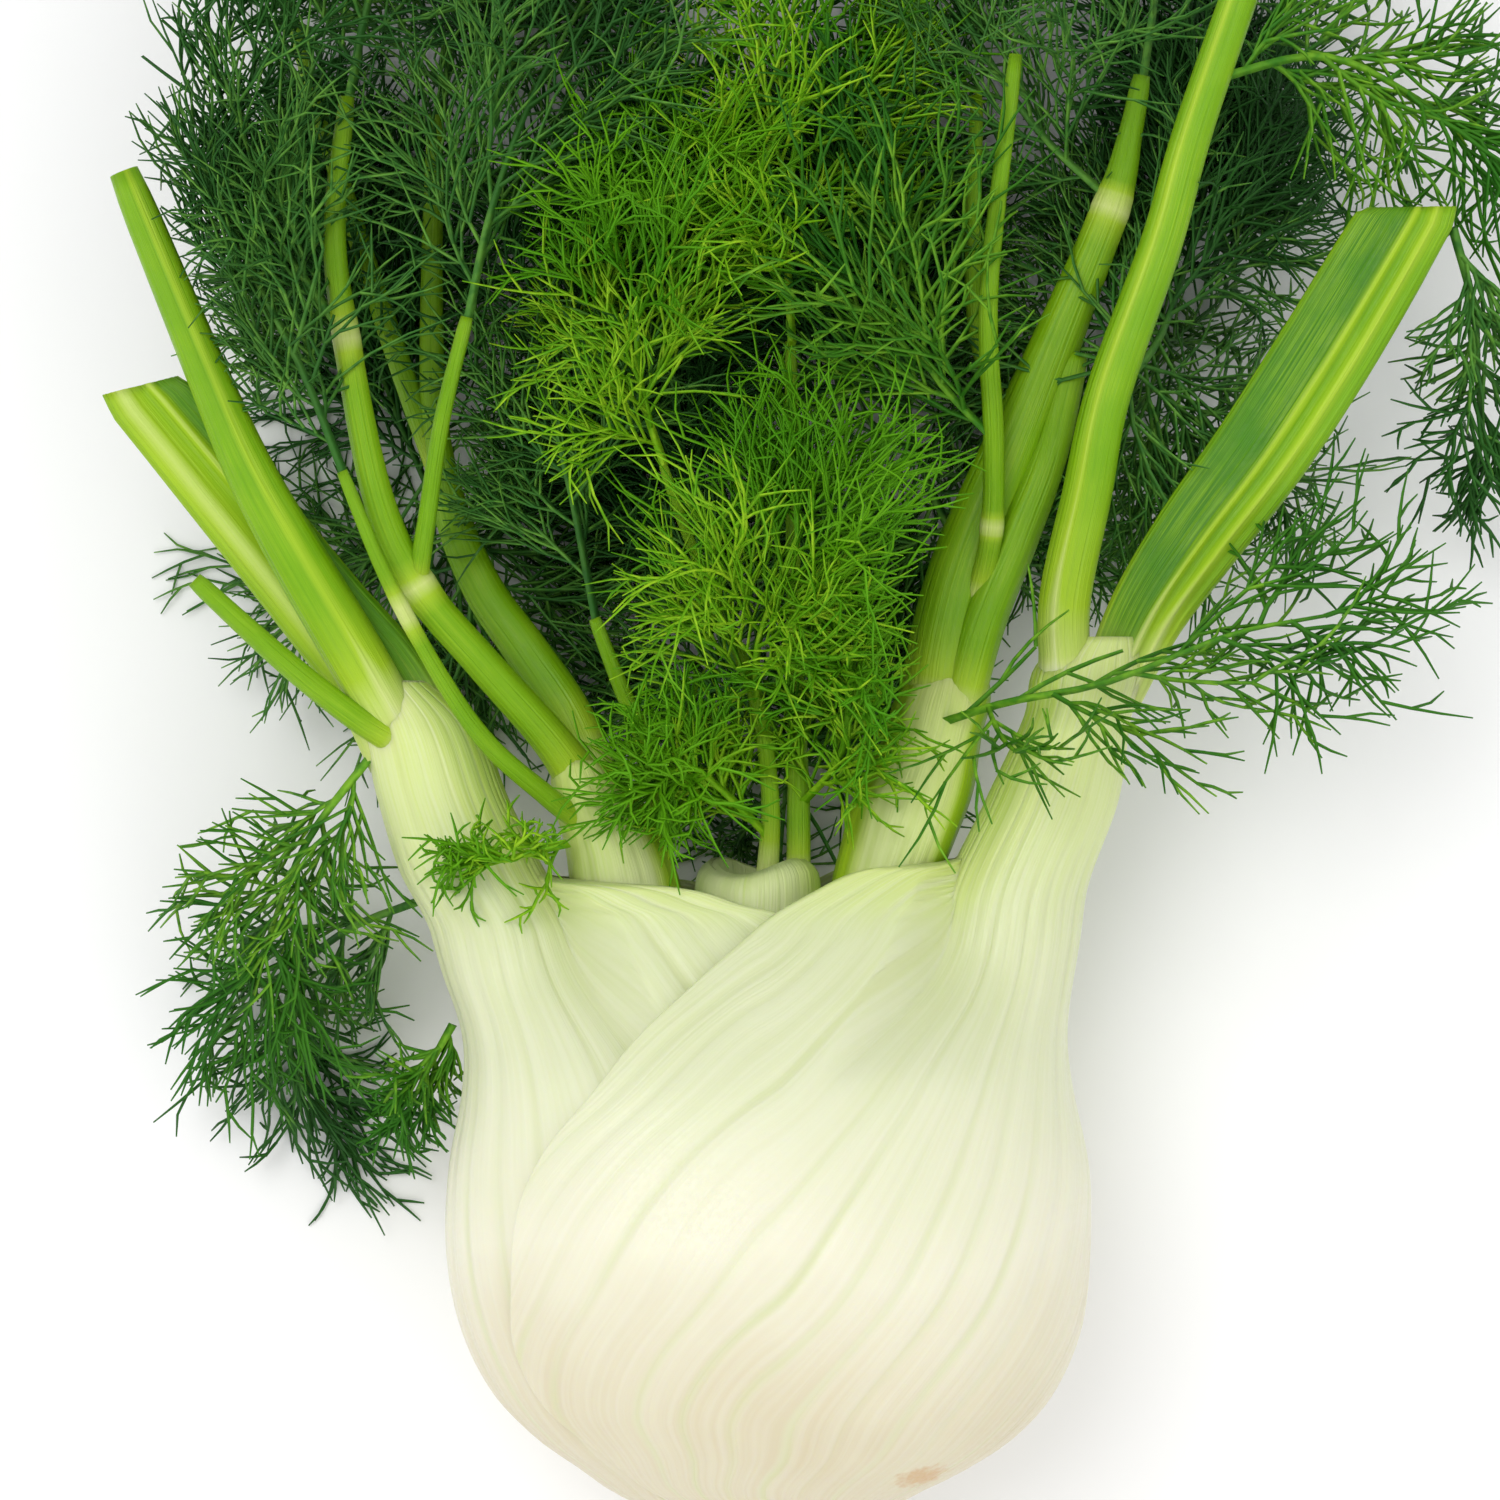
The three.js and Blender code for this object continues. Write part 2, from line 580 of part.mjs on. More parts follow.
const INNER_RIGHT_THIN = [
  [32, 97, 38, 1.9, 1.9], [34.2, 108, 42.5, 1.8, 1.8],
  [34.4, 123, 45, 1.7, 1.7], [33.6, 145, 47, 1.5, 1.5],
  [37.5, 180.5, 50, 1.2, 1.2],
];
const INNER_RIGHT_BACK = [
  [39, 122, 35, 1.6, 1.6], [34, 134, 32.5, 1.5, 1.5],
  [32, 148, 31.5, 1.4, 1.4], [32.5, 177, 32, 1.1, 1.1],
];
const INNER_LEFT_THICK = [
  [-27.5, 67, 38, 4, 4], [-33.5, 76, 41, 3.1, 3.1], [-44, 88, 45, 2.8, 2.8], [-53.5, 99.5, 48, 2.7, 2.7],
  [-59.7, 113.5, 50, 2.4, 2.4], [-64.4, 138.4, 52, 2, 2],
  [-65.9, 154, 53, 1.7, 1.7], [-63.9, 173.4, 54, 1.3, 1.3],
];
const INNER_LEFT_SLIM = [
  [-28, 63, 41, 2, 2], [-34, 67.5, 45, 1.7, 1.7],
  [-44.9, 78, 49.5, 1.5, 1.5], [-56.6, 98, 54.5, 1.2, 1.2],
  [-64.4, 116.6, 57, 1, 1],
];
const INNER_LEFT_FORK = [
  [-53.8, 99.5, 48.5, 1.7, 1.7], [-52.3, 108, 51, 1.5, 1.5], [-49.6, 124.4, 53.5, 1.3, 1.3],
  [-45.7, 140, 55, 1.1, 1.1],
];
const INNER_LEFT_SMALL = [
  [-20, 61, 36, 1.8, 1.8], [-16.6, 68, 36.5, 1.6, 1.6],
  [-19.3, 76, 37.5, 1.5, 1.5], [-23.2, 85, 38.5, 1.3, 1.3],
  [-27, 95, 39.5, 1.1, 1.1],
];
const INNER_LEFT_BACK = [
  [-26.5, 68, 34, 4, 3.6], [-31.3, 80, 30.5, 3.7, 3.3],
  [-38, 90, 28.5, 3.5, 3.1], [-45, 100, 27.5, 3.2, 2.9],
  [-50, 112, 26.5, 2.8, 2.6], [-52.7, 126, 25.5, 2.2, 2.2], [-53.3, 146, 24.5, 1.8, 1.8],
  [-52.7, 175, 24, 1.4, 1.4],
];
const INNER_LEFT_FAR = [
  [-50.5, 114, 26.5, 1.9, 1.9], [-58.5, 136, 23.5, 1.9, 1.9],
  [-66.5, 160, 21, 1.7, 1.7], [-76, 191, 19, 1.2, 1.2],
];
const CENTRE_SHOOT = [
  [-0.4, 53, 36.5, 1.9, 1.9], [0.2, 67, 38, 1.5, 1.5], [-1.9, 82, 41, 1.3, 1.3], [-7, 95, 44, 1, 1],
  [-12.3, 107, 47, 0.9, 0.9], [-16.2, 118, 49, 0.8, 0.8],
];
const CENTRE_DARK_SHOOT = [
  [4.6, 53, 34.5, 2, 2], [4.6, 66, 35, 1.9, 1.9], [4.4, 80, 36, 1.4, 1.4], [3.8, 100, 38, 1.2, 1.2],
  [3.3, 137.5, 43, 1, 1],
];

// Round root plate, trimmed at the bottom, that all the leaves grow on.
function rootPlate() {
  const profile = [[0, -50.4], [12, -50.2], [17, -49], [19.4, -46.5], [20, -44], [19.4, -42.4], [0, -42.4]];
  const lathe = new THREE.LatheGeometry(profile.map(([radius, y]) => new THREE.Vector2(radius, y)), 18);
  lathe.scale(1, 1, 0.84);
  lathe.translate(0, 0, 36.6);
  return lathe;
}

// Leaves, with the stalks that grow out of each petiole
const channelled = { sides: 12, channel: 0.75, steps: 9 };
const rightStalks = [stalk(RIGHT_LONG_STALK), stalk(RIGHT_WIDE_STALK, channelled)];
const leftStalks = [stalk(LEFT_WIDE_STALK, channelled), stalk(LEFT_SLIM_STALK), stalk(LEFT_THIN_STALK)];
const innerRightStalks = [INNER_RIGHT_WIDE, INNER_RIGHT_SLIM, INNER_RIGHT_THIN, INNER_RIGHT_BACK];
const innerLeftStalks = [
  INNER_LEFT_THICK, INNER_LEFT_SLIM, INNER_LEFT_FORK, INNER_LEFT_SMALL, INNER_LEFT_BACK, INNER_LEFT_FAR,
];
const centreStalks = [CENTRE_SHOOT, CENTRE_DARK_SHOOT];
const slim = { sides: 6, steps: 6 };

const innerClearance = (table) => toSolid(innerLeaf(table, 12, 14, SHEATH_CLEARANCE));
const rightSheath = toSolid(outerLeaf(rightLeafShape)).subtract(innerClearance(INNER_RIGHT));
const rightLeaf = largestBody(rightSheath).add(fuse(rightStalks)).simplify(LEAF_TOLERANCE);
const rightClearance = toSolid(outerLeaf({ ...rightLeafShape, swell: SHEATH_CLEARANCE }));
const leftBlank = toSolid(outerLeaf(leftLeafShape)).subtract(innerClearance(INNER_LEFT));
const leftSheath = largestBody(leftBlank.subtract(rightClearance));
const leftLeaf = leftSheath.add(fuse(leftStalks)).simplify(LEAF_TOLERANCE);
const withStalks = (body, stalks) => fuse([body, ...stalks.map((row) => stalk(row, slim))]);
const innerRightLeaf = withStalks(innerLeaf(INNER_RIGHT, 12, 14), innerRightStalks);
const innerLeftLeaf = withStalks(innerLeaf(INNER_LEFT, 12, 14), innerLeftStalks);
const centreLeaf = withStalks(innerLeaf(CENTRE_LEAF, 10, 12), centreStalks);

const petioleBars = (table) => table.map(([y, x, ...rest]) => [x, y, ...rest]);
for (const row of [petioleBars(RIGHT_PETIOLE), RIGHT_LONG_STALK, RIGHT_WIDE_STALK]) {
  addBars('leaf_right_outer', row);
}
for (const row of [petioleBars(LEFT_PETIOLE), LEFT_WIDE_STALK, LEFT_SLIM_STALK, LEFT_THIN_STALK]) {
  addBars('leaf_left_outer', row);
}
for (const row of [petioleBars(INNER_RIGHT), ...innerRightStalks]) addBars('leaf_inner_right', row);
for (const row of [petioleBars(INNER_LEFT), ...innerLeftStalks]) addBars('leaf_inner_left', row);
for (const row of [petioleBars(CENTRE_LEAF), ...centreStalks]) addBars('leaf_centre', row);

// Fronds. Each one starts just clear of the stalk that carries it.
const DARK_GREEN = 0x2a6b2c;
const MID_GREEN = 0x3f8a2b;
const BRIGHT_GREEN = 0x5fa81e;
const FRONDS = [
  {
    name: 'frond_left_top', colour: DARK_GREEN, branches: 5, reach: 34, pairs: 2, needleLength: 17,
    path: [[-63.8, 174.6, 54.1], [-60, 190, 55], [-53, 206, 50], [-45, 222, 41]],
  },
  {
    name: 'frond_left_upper', colour: DARK_GREEN, branches: 5, reach: 24, pairs: 3, needleLength: 15,
    path: [[-67.6, 142, 52.5], [-75, 153, 56], [-82, 169, 54], [-86, 186, 46]],
  },
  {
    name: 'frond_left_mid', colour: DARK_GREEN, branches: 5, reach: 32, pairs: 2, needleLength: 17,
    path: [[-45.5, 141.4, 55.1], [-42, 156, 57], [-36, 173, 55], [-28, 190, 47]],
  },
  {
    name: 'frond_left_low', colour: DARK_GREEN, branches: 5, reach: 20, pairs: 3, needleLength: 14,
    path: [[-65, 118.2, 57.2], [-70, 131, 60], [-77, 145, 60], [-82, 157, 56]],
  },
  {
    name: 'frond_left_back', colour: DARK_GREEN, branches: 5, reach: 24, pairs: 2, needleLength: 15,
    path: [[-76.4, 192.5, 19], [-79, 205, 15], [-80, 217, 9], [-80, 227, 4]],
  },
  {
    name: 'frond_left_far', colour: DARK_GREEN, branches: 5, reach: 34, pairs: 2, needleLength: 17,
    path: [[-52.6, 176.6, 24], [-49, 190, 21], [-42, 206, 15], [-34, 220, 7]],
  },
  {
    name: 'frond_left_inner', colour: DARK_GREEN, branches: 5, reach: 27, pairs: 3, needleLength: 16,
    path: [[-27.2, 96.4, 39.7], [-30, 111, 41], [-33, 128, 38], [-29, 147, 31], [-22, 166, 22]],
  },
  {
    name: 'frond_centre_left', colour: BRIGHT_GREEN, branches: 5, reach: 20, pairs: 3, needleLength: 13,
    path: [[-16.5, 119.1, 49.2], [-19.5, 129, 52], [-20, 143, 54], [-16, 157, 53]],
  },
  {
    name: 'frond_centre_right', colour: BRIGHT_GREEN, branches: 5, reach: 24, pairs: 3, needleLength: 15,
    path: [[3.2, 138.7, 43.1], [2.6, 153, 46], [4, 168, 46], [8, 184, 42], [12, 200, 34]],
  },
  {
    name: 'frond_centre_low', colour: BRIGHT_GREEN, branches: 5, reach: 19, pairs: 3, needleLength: 12,
    path: [[-1.6, 83, 43.6], [-2, 90, 50], [1, 99, 56], [5, 109, 59]],
  },
  {
    name: 'tuft_centre_left', colour: BRIGHT_GREEN, branches: 5, reach: 12, pairs: 2, needleLength: 9,
    path: [[-2.4, 62, 38.5], [-7, 68, 44], [-12, 72, 48], [-15, 71, 51]],
  },
  {
    name: 'tuft_centre_right', colour: BRIGHT_GREEN, branches: 5, reach: 12, pairs: 2, needleLength: 9,
    path: [[6.2, 68, 38], [10.5, 73, 44], [12, 81, 49], [11, 89, 52]],
  },
  {
    name: 'frond_right_top', colour: DARK_GREEN, branches: 5, reach: 31, pairs: 2, needleLength: 17,
    path: [[57.8, 180.2, 39.1], [60, 193, 37], [63, 208, 29], [66, 222, 18]],
  },
  {
    name: 'frond_right_mid', colour: DARK_GREEN, branches: 5, reach: 30, pairs: 2, needleLength: 17,
    path: [[49.6, 160.6, 37], [42, 170, 38], [33, 184, 35], [26, 201, 26], [22, 215, 15]],
  },
  {
    name: 'frond_right_inner', colour: MID_GREEN, branches: 5, reach: 24, pairs: 3, needleLength: 15,
    path: [[31.6, 123.4, 45.4], [25, 132, 47], [18, 146, 46], [14, 162, 41]],
  },
  {
    name: 'spray_right_edge', colour: MID_GREEN, branches: 5, reach: 20, pairs: 3, needleLength: 14,
    path: [[70.8, 176.5, 55.5], [83, 179.5, 55], [97, 175, 49], [111, 167, 40]],
  },
  {
    name: 'spray_front', colour: MID_GREEN, branches: 5, reach: 25, pairs: 2, needleLength: 13,
    path: [[26.6, 80.4, 44.4], [36, 82, 52], [51, 85, 58], [69, 92, 59], [84, 95, 54]],
  },
  {
    name: 'spray_left_droop', colour: MID_GREEN, branches: 5, reach: 17, pairs: 3, needleLength: 12,
    path: [[-63.4, 72, 40], [-71, 61, 39], [-77, 48, 34], [-81, 36, 27]],
  },
  {
    name: 'spray_left_low', colour: DARK_GREEN, branches: 5, reach: 14, pairs: 3, needleLength: 12,
    path: [[-56.6, 49.8, 31], [-66.7, 45.9, 24], [-76, 38, 15], [-78, 27, 8], [-72, 15, 2.2]],
  },
  {
    name: 'tuft_left_petiole', colour: BRIGHT_GREEN, branches: 5, reach: 8, pairs: 2, needleLength: 7,
    thickness: 0.7, path: [[-33.6, 59.4, 48.6], [-37, 58.6, 51.6], [-42, 57.6, 52.6]],
  },
  {
    name: 'fan_left_small', colour: MID_GREEN, branches: 4, reach: 8, pairs: 2, needleLength: 6,
    thickness: 0.6, path: [[-49.7, 31, 33], [-53, 25, 32], [-56, 19, 30]],
  },
  {
    name: 'scrap_right_end', colour: DARK_GREEN, branches: 5, reach: 11, pairs: 2, needleLength: 10,
    path: [[105.6, 151, 50], [108, 142, 46], [110, 131, 38], [113, 120, 28]],
  },
  {
    name: 'frond_back_left', colour: DARK_GREEN, branches: 5, reach: 27, pairs: 3, needleLength: 15,
    path: [[-47, 101, 22.6], [-53, 113, 17], [-60, 129, 13], [-66, 146, 11], [-70, 160, 9.5]],
  },
  {
    name: 'frond_back_middle', colour: DARK_GREEN, branches: 5, reach: 26, pairs: 2, needleLength: 15,
    path: [[4.4, 68, 31.6], [0, 80, 27], [-9, 95, 21], [-17, 112, 17], [-21, 130, 14], [-22, 148, 12]],
  },
  {
    name: 'frond_back_right', colour: DARK_GREEN, branches: 5, reach: 26, pairs: 3, needleLength: 15,
    path: [[30, 105, 29.8], [25, 117, 24], [20, 132, 19], [16, 148, 15], [14, 164, 12]],
  },
  {
    name: 'frond_back_edge', colour: DARK_GREEN, branches: 5, reach: 25, pairs: 3, needleLength: 15,
    path: [[55, 131, 46.8], [60, 138, 40], [65, 150, 32], [69, 164, 26], [72, 178, 21]],
  },
];

// The stems of all fronds are placed before any branch, so that every branch keeps clear of them.
for (const { name, path, thickness = RACHIS_RADIUS } of FRONDS) {
  const table = rachisRows(path, thickness).map((row, index) => [index, ...row]);
  const last = path.length - 1;
  const places = Array.from({ length: RACHIS_BARS + 1 }, (_, i) => (last * i) / RACHIS_BARS);
  addBars(name, places.map((at) => readTable(table, at)));
}

// Assembly
const group = new THREE.Group();
function addNode(name, solid, colour, roughness) {
  const material = new THREE.MeshStandardMaterial({ color: colour, roughness, metalness: 0 });
  const mesh = new THREE.Mesh(toGeometry(solid), material);
  mesh.name = name;
  group.add(mesh);
}

addNode('root_plate', toSolid(rootPlate()), 0xd6c3a0, 0.7);
addNode('leaf_right_outer', rightLeaf, 0xe9ecd6, 0.45);
addNode('leaf_left_outer', leftLeaf, 0xe9ecd6, 0.45);
addNode('leaf_inner_right', innerRightLeaf, 0xc5dc7c, 0.45);
addNode('leaf_inner_left', innerLeftLeaf, 0xa9cf45, 0.45);
addNode('leaf_centre', centreLeaf, 0xdfe9bd, 0.45);
FRONDS.forEach((shape, index) => {
  addNode(shape.name, frond({ ...shape, seed: index + 1 }), shape.colour, 0.6);
});

export default group;
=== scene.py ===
import math
import random

import bmesh
import bpy
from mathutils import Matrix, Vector


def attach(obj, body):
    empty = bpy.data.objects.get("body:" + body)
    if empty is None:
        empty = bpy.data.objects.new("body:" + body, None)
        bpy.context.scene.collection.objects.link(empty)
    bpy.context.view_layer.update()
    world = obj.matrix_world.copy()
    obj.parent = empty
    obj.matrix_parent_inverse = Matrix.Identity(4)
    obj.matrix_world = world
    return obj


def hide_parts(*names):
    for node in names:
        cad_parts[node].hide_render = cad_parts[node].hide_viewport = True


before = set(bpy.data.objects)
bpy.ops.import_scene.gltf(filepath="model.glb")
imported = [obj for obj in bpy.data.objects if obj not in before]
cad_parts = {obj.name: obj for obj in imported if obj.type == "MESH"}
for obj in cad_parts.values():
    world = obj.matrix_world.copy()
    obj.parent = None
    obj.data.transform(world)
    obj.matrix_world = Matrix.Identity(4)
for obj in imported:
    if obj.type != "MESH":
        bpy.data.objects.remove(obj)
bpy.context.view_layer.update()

scene = bpy.context.scene

# The table, the light and the camera
# A pale table top under one big soft light, with a weaker one at the front and a white room round it. The
# camera looks straight down.
TABLE_HALF_SIZE = 3.0
TABLE_WHITE = (0.97, 0.97, 0.97, 1)
ROOM_STRENGTH = 0.84
CAMERA_PLACE = (-0.00295, 0.0746, 0.7)
CAMERA_LENS = 102.5

floor_grid = bmesh.new()
bmesh.ops.create_grid(floor_grid, x_segments=1, y_segments=1, size=TABLE_HALF_SIZE)
floor_mesh = bpy.data.meshes.new("table_top")
floor_grid.to_mesh(floor_mesh)
floor_grid.free()
table_top = bpy.data.objects.new("table_top", floor_mesh)
scene.collection.objects.link(table_top)
floor_material = bpy.data.materials.new("table_white")
floor_material.use_nodes = True
floor_shader = floor_material.node_tree.nodes["Principled BSDF"]
floor_shader.inputs["Base Color"].default_value = TABLE_WHITE
floor_shader.inputs["Roughness"].default_value = 0.8
floor_mesh.materials.append(floor_material)

camera = bpy.data.objects.new("camera", bpy.data.cameras.new("camera"))
camera.data.lens = CAMERA_LENS
camera.data.sensor_width = 36
camera.data.clip_start = 0.01
camera.location = CAMERA_PLACE
scene.collection.objects.link(camera)
scene.camera = camera


def soft_light(name, place, aim, size, power):
    light = bpy.data.lights.new(name, "AREA")
    light.shape = "DISK"
    light.size = size
    light.energy = power
    holder = bpy.data.objects.new(name, light)
    holder.location = place
    holder.rotation_euler = (Vector(aim) - Vector(place)).to_track_quat("-Z", "Y").to_euler()
    scene.collection.objects.link(holder)


soft_light("light_over", (-0.35, 0.4, 1.1), (0, 0.05, 0.03), 0.7, 4.6)
soft_light("light_front", (0.5, -0.7, 0.9), (0, 0.0, 0.03), 0.9, 1.7)
room = bpy.data.worlds.new("white_room")
room.use_nodes = True
room.node_tree.nodes["Background"].inputs["Color"].default_value = (1, 1, 1, 1)
room.node_tree.nodes["Background"].inputs["Strength"].default_value = ROOM_STRENGTH
scene.world = room
scene.view_settings.view_transform = "Standard"

# Root plate
# The short hard stem that all the leaves grow on, trimmed flat at the bottom. It is corky and tan,
# and the leaves are fused to its upper side.
MM = 0.001
ROOT_PROFILE = [
    (0, -50.2), (6, -50.4), (11, -50.3), (14.5, -49.9), (17, -49), (18.8, -47.2), (19.8, -45),
    (19.9, -43.6), (19.4, -42.4), (0, -42.4),
]
ROOT_DEPTH_SHARE = 0.84
ROOT_HEIGHT = 36.6


def linear(red, green, blue):
    """A colour picked as 0 to 255 values, as the shaders want it."""
    return tuple((v / 255) ** 2.2 for v in (red, green, blue)) + (1,)


def empty_group(name, inputs, outputs):
    group = bpy.data.node_groups.new(name, "ShaderNodeTree")
    for label, kind, value in inputs:
        socket = group.interface.new_socket(label, in_out="INPUT", socket_type=kind)
        if value is not None:
            socket.default_value = value
    for label, kind in outputs:
        group.interface.new_socket(label, in_out="OUTPUT", socket_type=kind)
    return group, group.nodes.new("NodeGroupInput"), group.nodes.new("NodeGroupOutput")


def plug(tree, socket, value):
    """Gives a socket a fixed value, or links another node's output to it."""
    if isinstance(value, (int, float, tuple)):
        socket.default_value = value
    else:
        tree.links.new(value, socket)


def add_math(tree, operation, *values):
    node = tree.nodes.new("ShaderNodeMath")
    node.operation = operation
    for socket, value in zip(node.inputs, values):
        plug(tree, socket, value)
    return node.outputs[0]


def add_range(tree, value, from_low, from_high, to_low=0.0, to_high=1.0):
    node = tree.nodes.new("ShaderNodeMapRange")
    node.interpolation_type = "SMOOTHSTEP"
    ends = {"From Min": from_low, "From Max": from_high, "To Min": to_low, "To Max": to_high}
    for label, number in (("Value", value), *ends.items()):
        plug(tree, node.inputs[label], number)
    return node.outputs["Result"]


def add_noise(tree, vector, scale, detail):
    node = tree.nodes.new("ShaderNodeTexNoise")
    node.inputs["Scale"].default_value = scale
    node.inputs["Detail"].default_value = detail
    tree.links.new(vector, node.inputs["Vector"])
    return node.outputs["Fac"]


def add_mix(tree, factor, first, second):
    node = tree.nodes.new("ShaderNodeMix")
    node.data_type = "RGBA"
    for i, value in ((0, factor), (6, first), (7, second)):
        plug(tree, node.inputs[i], value)
    return node.outputs[2]


def add_stretch(tree, vector, x, y, z):
    node = tree.nodes.new("ShaderNodeMapping")
    node.inputs["Scale"].default_value = (x, y, z)
    tree.links.new(vector, node.inputs["Vector"])
    return node.outputs["Vector"]


def new_material(name, roughness, subsurface):
    material = bpy.data.materials.new(name)
    material.use_nodes = True
    tree = material.node_tree
    shader = tree.nodes["Principled BSDF"]
    shader.inputs["Roughness"].default_value = roughness
    shader.inputs["Subsurface Weight"].default_value = subsurface
    shader.inputs["Subsurface Radius"].default_value = (0.8, 1.0, 0.4)
    shader.inputs["Subsurface Scale"].default_value = 0.002
    return material, tree, shader


def object_place(tree):
    return tree.nodes.new("ShaderNodeTexCoord").outputs["Object"]


def add_bump(tree, shader, height, distance):
    node = tree.nodes.new("ShaderNodeBump")
    node.inputs["Distance"].default_value = distance
    tree.links.new(height, node.inputs["Height"])
    tree.links.new(node.outputs["Normal"], shader.inputs["Normal"])


def make_mottle():
    """Soft patches with finer grain in them, as plant skin has."""
    group, entry, result = empty_group(
        "grown_mottle",
        [("Place", "NodeSocketVector", None), ("Patch Scale", "NodeSocketFloat", 60.0),
         ("Grain Scale", "NodeSocketFloat", 900.0)],
        [("Patches", "NodeSocketFloat"), ("Grain", "NodeSocketFloat")],
    )
    for label, scale_name, detail in (("Patches", "Patch Scale", 3.0), ("Grain", "Grain Scale", 2.0)):
        noise = group.nodes.new("ShaderNodeTexNoise")
        noise.inputs["Detail"].default_value = detail
        group.links.new(entry.outputs["Place"], noise.inputs["Vector"])
        group.links.new(entry.outputs[scale_name], noise.inputs["Scale"])
        spread = add_range(group, noise.outputs["Fac"], 0.3, 0.7)
        group.links.new(spread, result.inputs[label])
    return group


mottle_group = make_mottle()


def add_mottle(tree, patch_scale, grain_scale):
    node = tree.nodes.new("ShaderNodeGroup")
    node.node_tree = mottle_group
    node.inputs["Patch Scale"].default_value = patch_scale
    node.inputs["Grain Scale"].default_value = grain_scale
    tree.links.new(object_place(tree), node.inputs["Place"])
    return node.outputs["Patches"], node.outputs["Grain"]


def place_piece(name, body, materials, node):
    """Turns a bmesh into a smooth named piece that stands for a node, and frees the bmesh."""
    bmesh.ops.recalc_face_normals(body, faces=body.faces)
    bmesh.ops.triangulate(body, faces=[face for face in body.faces if len(face.verts) > 4])
    for face in body.faces:
        face.smooth = True
    mesh = bpy.data.meshes.new(name)
    body.to_mesh(mesh)
    body.free()
    for material in materials:
        mesh.materials.append(material)
    piece = bpy.data.objects.new(name, mesh)
    scene.collection.objects.link(piece)
    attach(piece, "root")
    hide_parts(node)


root_material, tree, shader = new_material("root_cork", 0.7, 0.05)
patches, grain = add_mottle(tree, 220.0, 1500.0)
root_colour = add_mix(tree, patches, linear(233, 222, 190), linear(206, 182, 142))
root_colour = add_mix(tree, add_math(tree, "MULTIPLY", grain, 0.35), root_colour, linear(160, 126, 84))
tree.links.new(root_colour, shader.inputs["Base Color"])
add_bump(tree, shader, add_math(tree, "ADD", patches, grain), 0.0006)

root_body = bmesh.new()
rim = [root_body.verts.new((radius * MM, y * MM, 0)) for radius, y in ROOT_PROFILE]
ribs = [root_body.edges.new(pair) for pair in zip(rim, rim[1:])]
bmesh.ops.subdivide_edges(root_body, edges=ribs, cuts=2, use_grid_fill=False)
bmesh.ops.spin(root_body, geom=root_body.verts[:] + root_body.edges[:], cent=(0, 0, 0), axis=(0, 1, 0),
               dvec=(0, 0, 0), angle=2 * math.pi, steps=96, use_merge=True)
bmesh.ops.remove_doubles(root_body, verts=root_body.verts, dist=1e-6)
bmesh.ops.scale(root_body, verts=root_body.verts, vec=(1, 1, ROOT_DEPTH_SHARE))
bmesh.ops.translate(root_body, verts=root_body.verts, vec=(0, 0, ROOT_HEIGHT * MM))
place_piece("root_plate_trimmed", root_body, [root_material], "root_plate")

# Right outer leaf
# The topmost leaf: a thick white sheath wrapped round the bulb, ribbed along its fibres. It narrows at
# the shoulder into a petiole, and the petiole carries a long round stalk and a wide channelled one.
BULB_OUTLINE = [
    (-42, -20, 20, 20, 53), (-39.5, -25, 24, 14.5, 58), (-36, -30, 31, 9.5, 62), (-31, -37, 38.5, 5, 66.5),
    (-24, -43.5, 44.5, 1.2, 71), (-14, -48.2, 48.5, -1, 74.5), (-2, -50.2, 49.7, -1, 76),
    (10, -49.8, 49.6, -1, 74), (22, -47.8, 47.3, -1, 70), (33, -47.6, 46.1, -1, 64),
    (42, -50, 46.5, 2.2, 59), (52, -52, 48.5, 8.5, 54), (60, -53, 50, 12, 51),
]
SECTION_POWER = 2.3
RIGHT_SHEATH_EDGE = [
    (-42, -8), (-37, -18), (-31, -25), (-24, -33.5), (-15, -38), (-6, -38.4), (4, -37.8), (10, -36),
    (16, -32.6), (23, -26.6), (32, -19.2), (40, -10.4), (46, -3.4), (49.8, 1.4), (53.6, 8.4), (55.8, 13.2),
    (57, 18), (57.6, 22),
]
RIGHT_PETIOLE = [
    (20, 36, 37, 12, 13), (51, 37.8, 37, 11.2, 11.5), (67, 43.9, 38, 10.3, 9.6), (80, 47.8, 39, 8.3, 8.4),
    (86, 49.2, 40, 8.8, 7.4), (89, 50, 40.6, 7.8, 5.8), (92, 51.4, 41.4, 5.4, 3.8),
]
INNER_RIGHT = [
    (-40, 6.3, 37, 2.4, 4), (-30, 11, 37, 6, 10), (-15, 18, 37, 11.5, 17), (5, 21, 37, 13.5, 19),
    (28, 19.5, 36, 11.5, 16), (42, 17.6, 35.5, 8.8, 12), (53, 17.9, 35, 8.3, 11), (60, 20, 34.5, 8.8, 10),
    (68, 22.6, 34.5, 9.2, 9), (77, 25.6, 35, 7.6, 7.6), (82, 26.9, 35.2, 7.6, 6.6),
    (86, 27.9, 35.6, 6.2, 4.6), (88, 28.4, 36, 4.6, 3.2),
]
RIGHT_LONG_STALK = [
    (46, 84, 41, 4, 4), (45.3, 97, 44.5, 4, 3.8), (48.4, 113.5, 49, 3.8, 3.4), (51.5, 129, 51.5, 3.5, 3.1),
    (59.2, 151, 54, 3.2, 2.8), (63.9, 168, 55.5, 3, 2.6), (71.7, 191, 57.5, 2.8, 2.4),
    (82.5, 223, 60, 2.5, 2.2),
]
RIGHT_WIDE_STALK = [
    (52.5, 83, 40, 5, 5), (58, 95.5, 43, 6, 4.6), (65.5, 107, 45, 6.9, 4.4), (75, 120, 47, 7.4, 4.2),
    (84, 134, 49, 7.5, 4), (92, 147.5, 51, 7.3, 3.8), (97.5, 157, 52, 6.8, 3.4),
]
SHEATH_THICKNESS = 5.2
MARGIN_THICKNESS = 1.2
THICKENING_LENGTH = 18
LEAF_GAP = 1.1
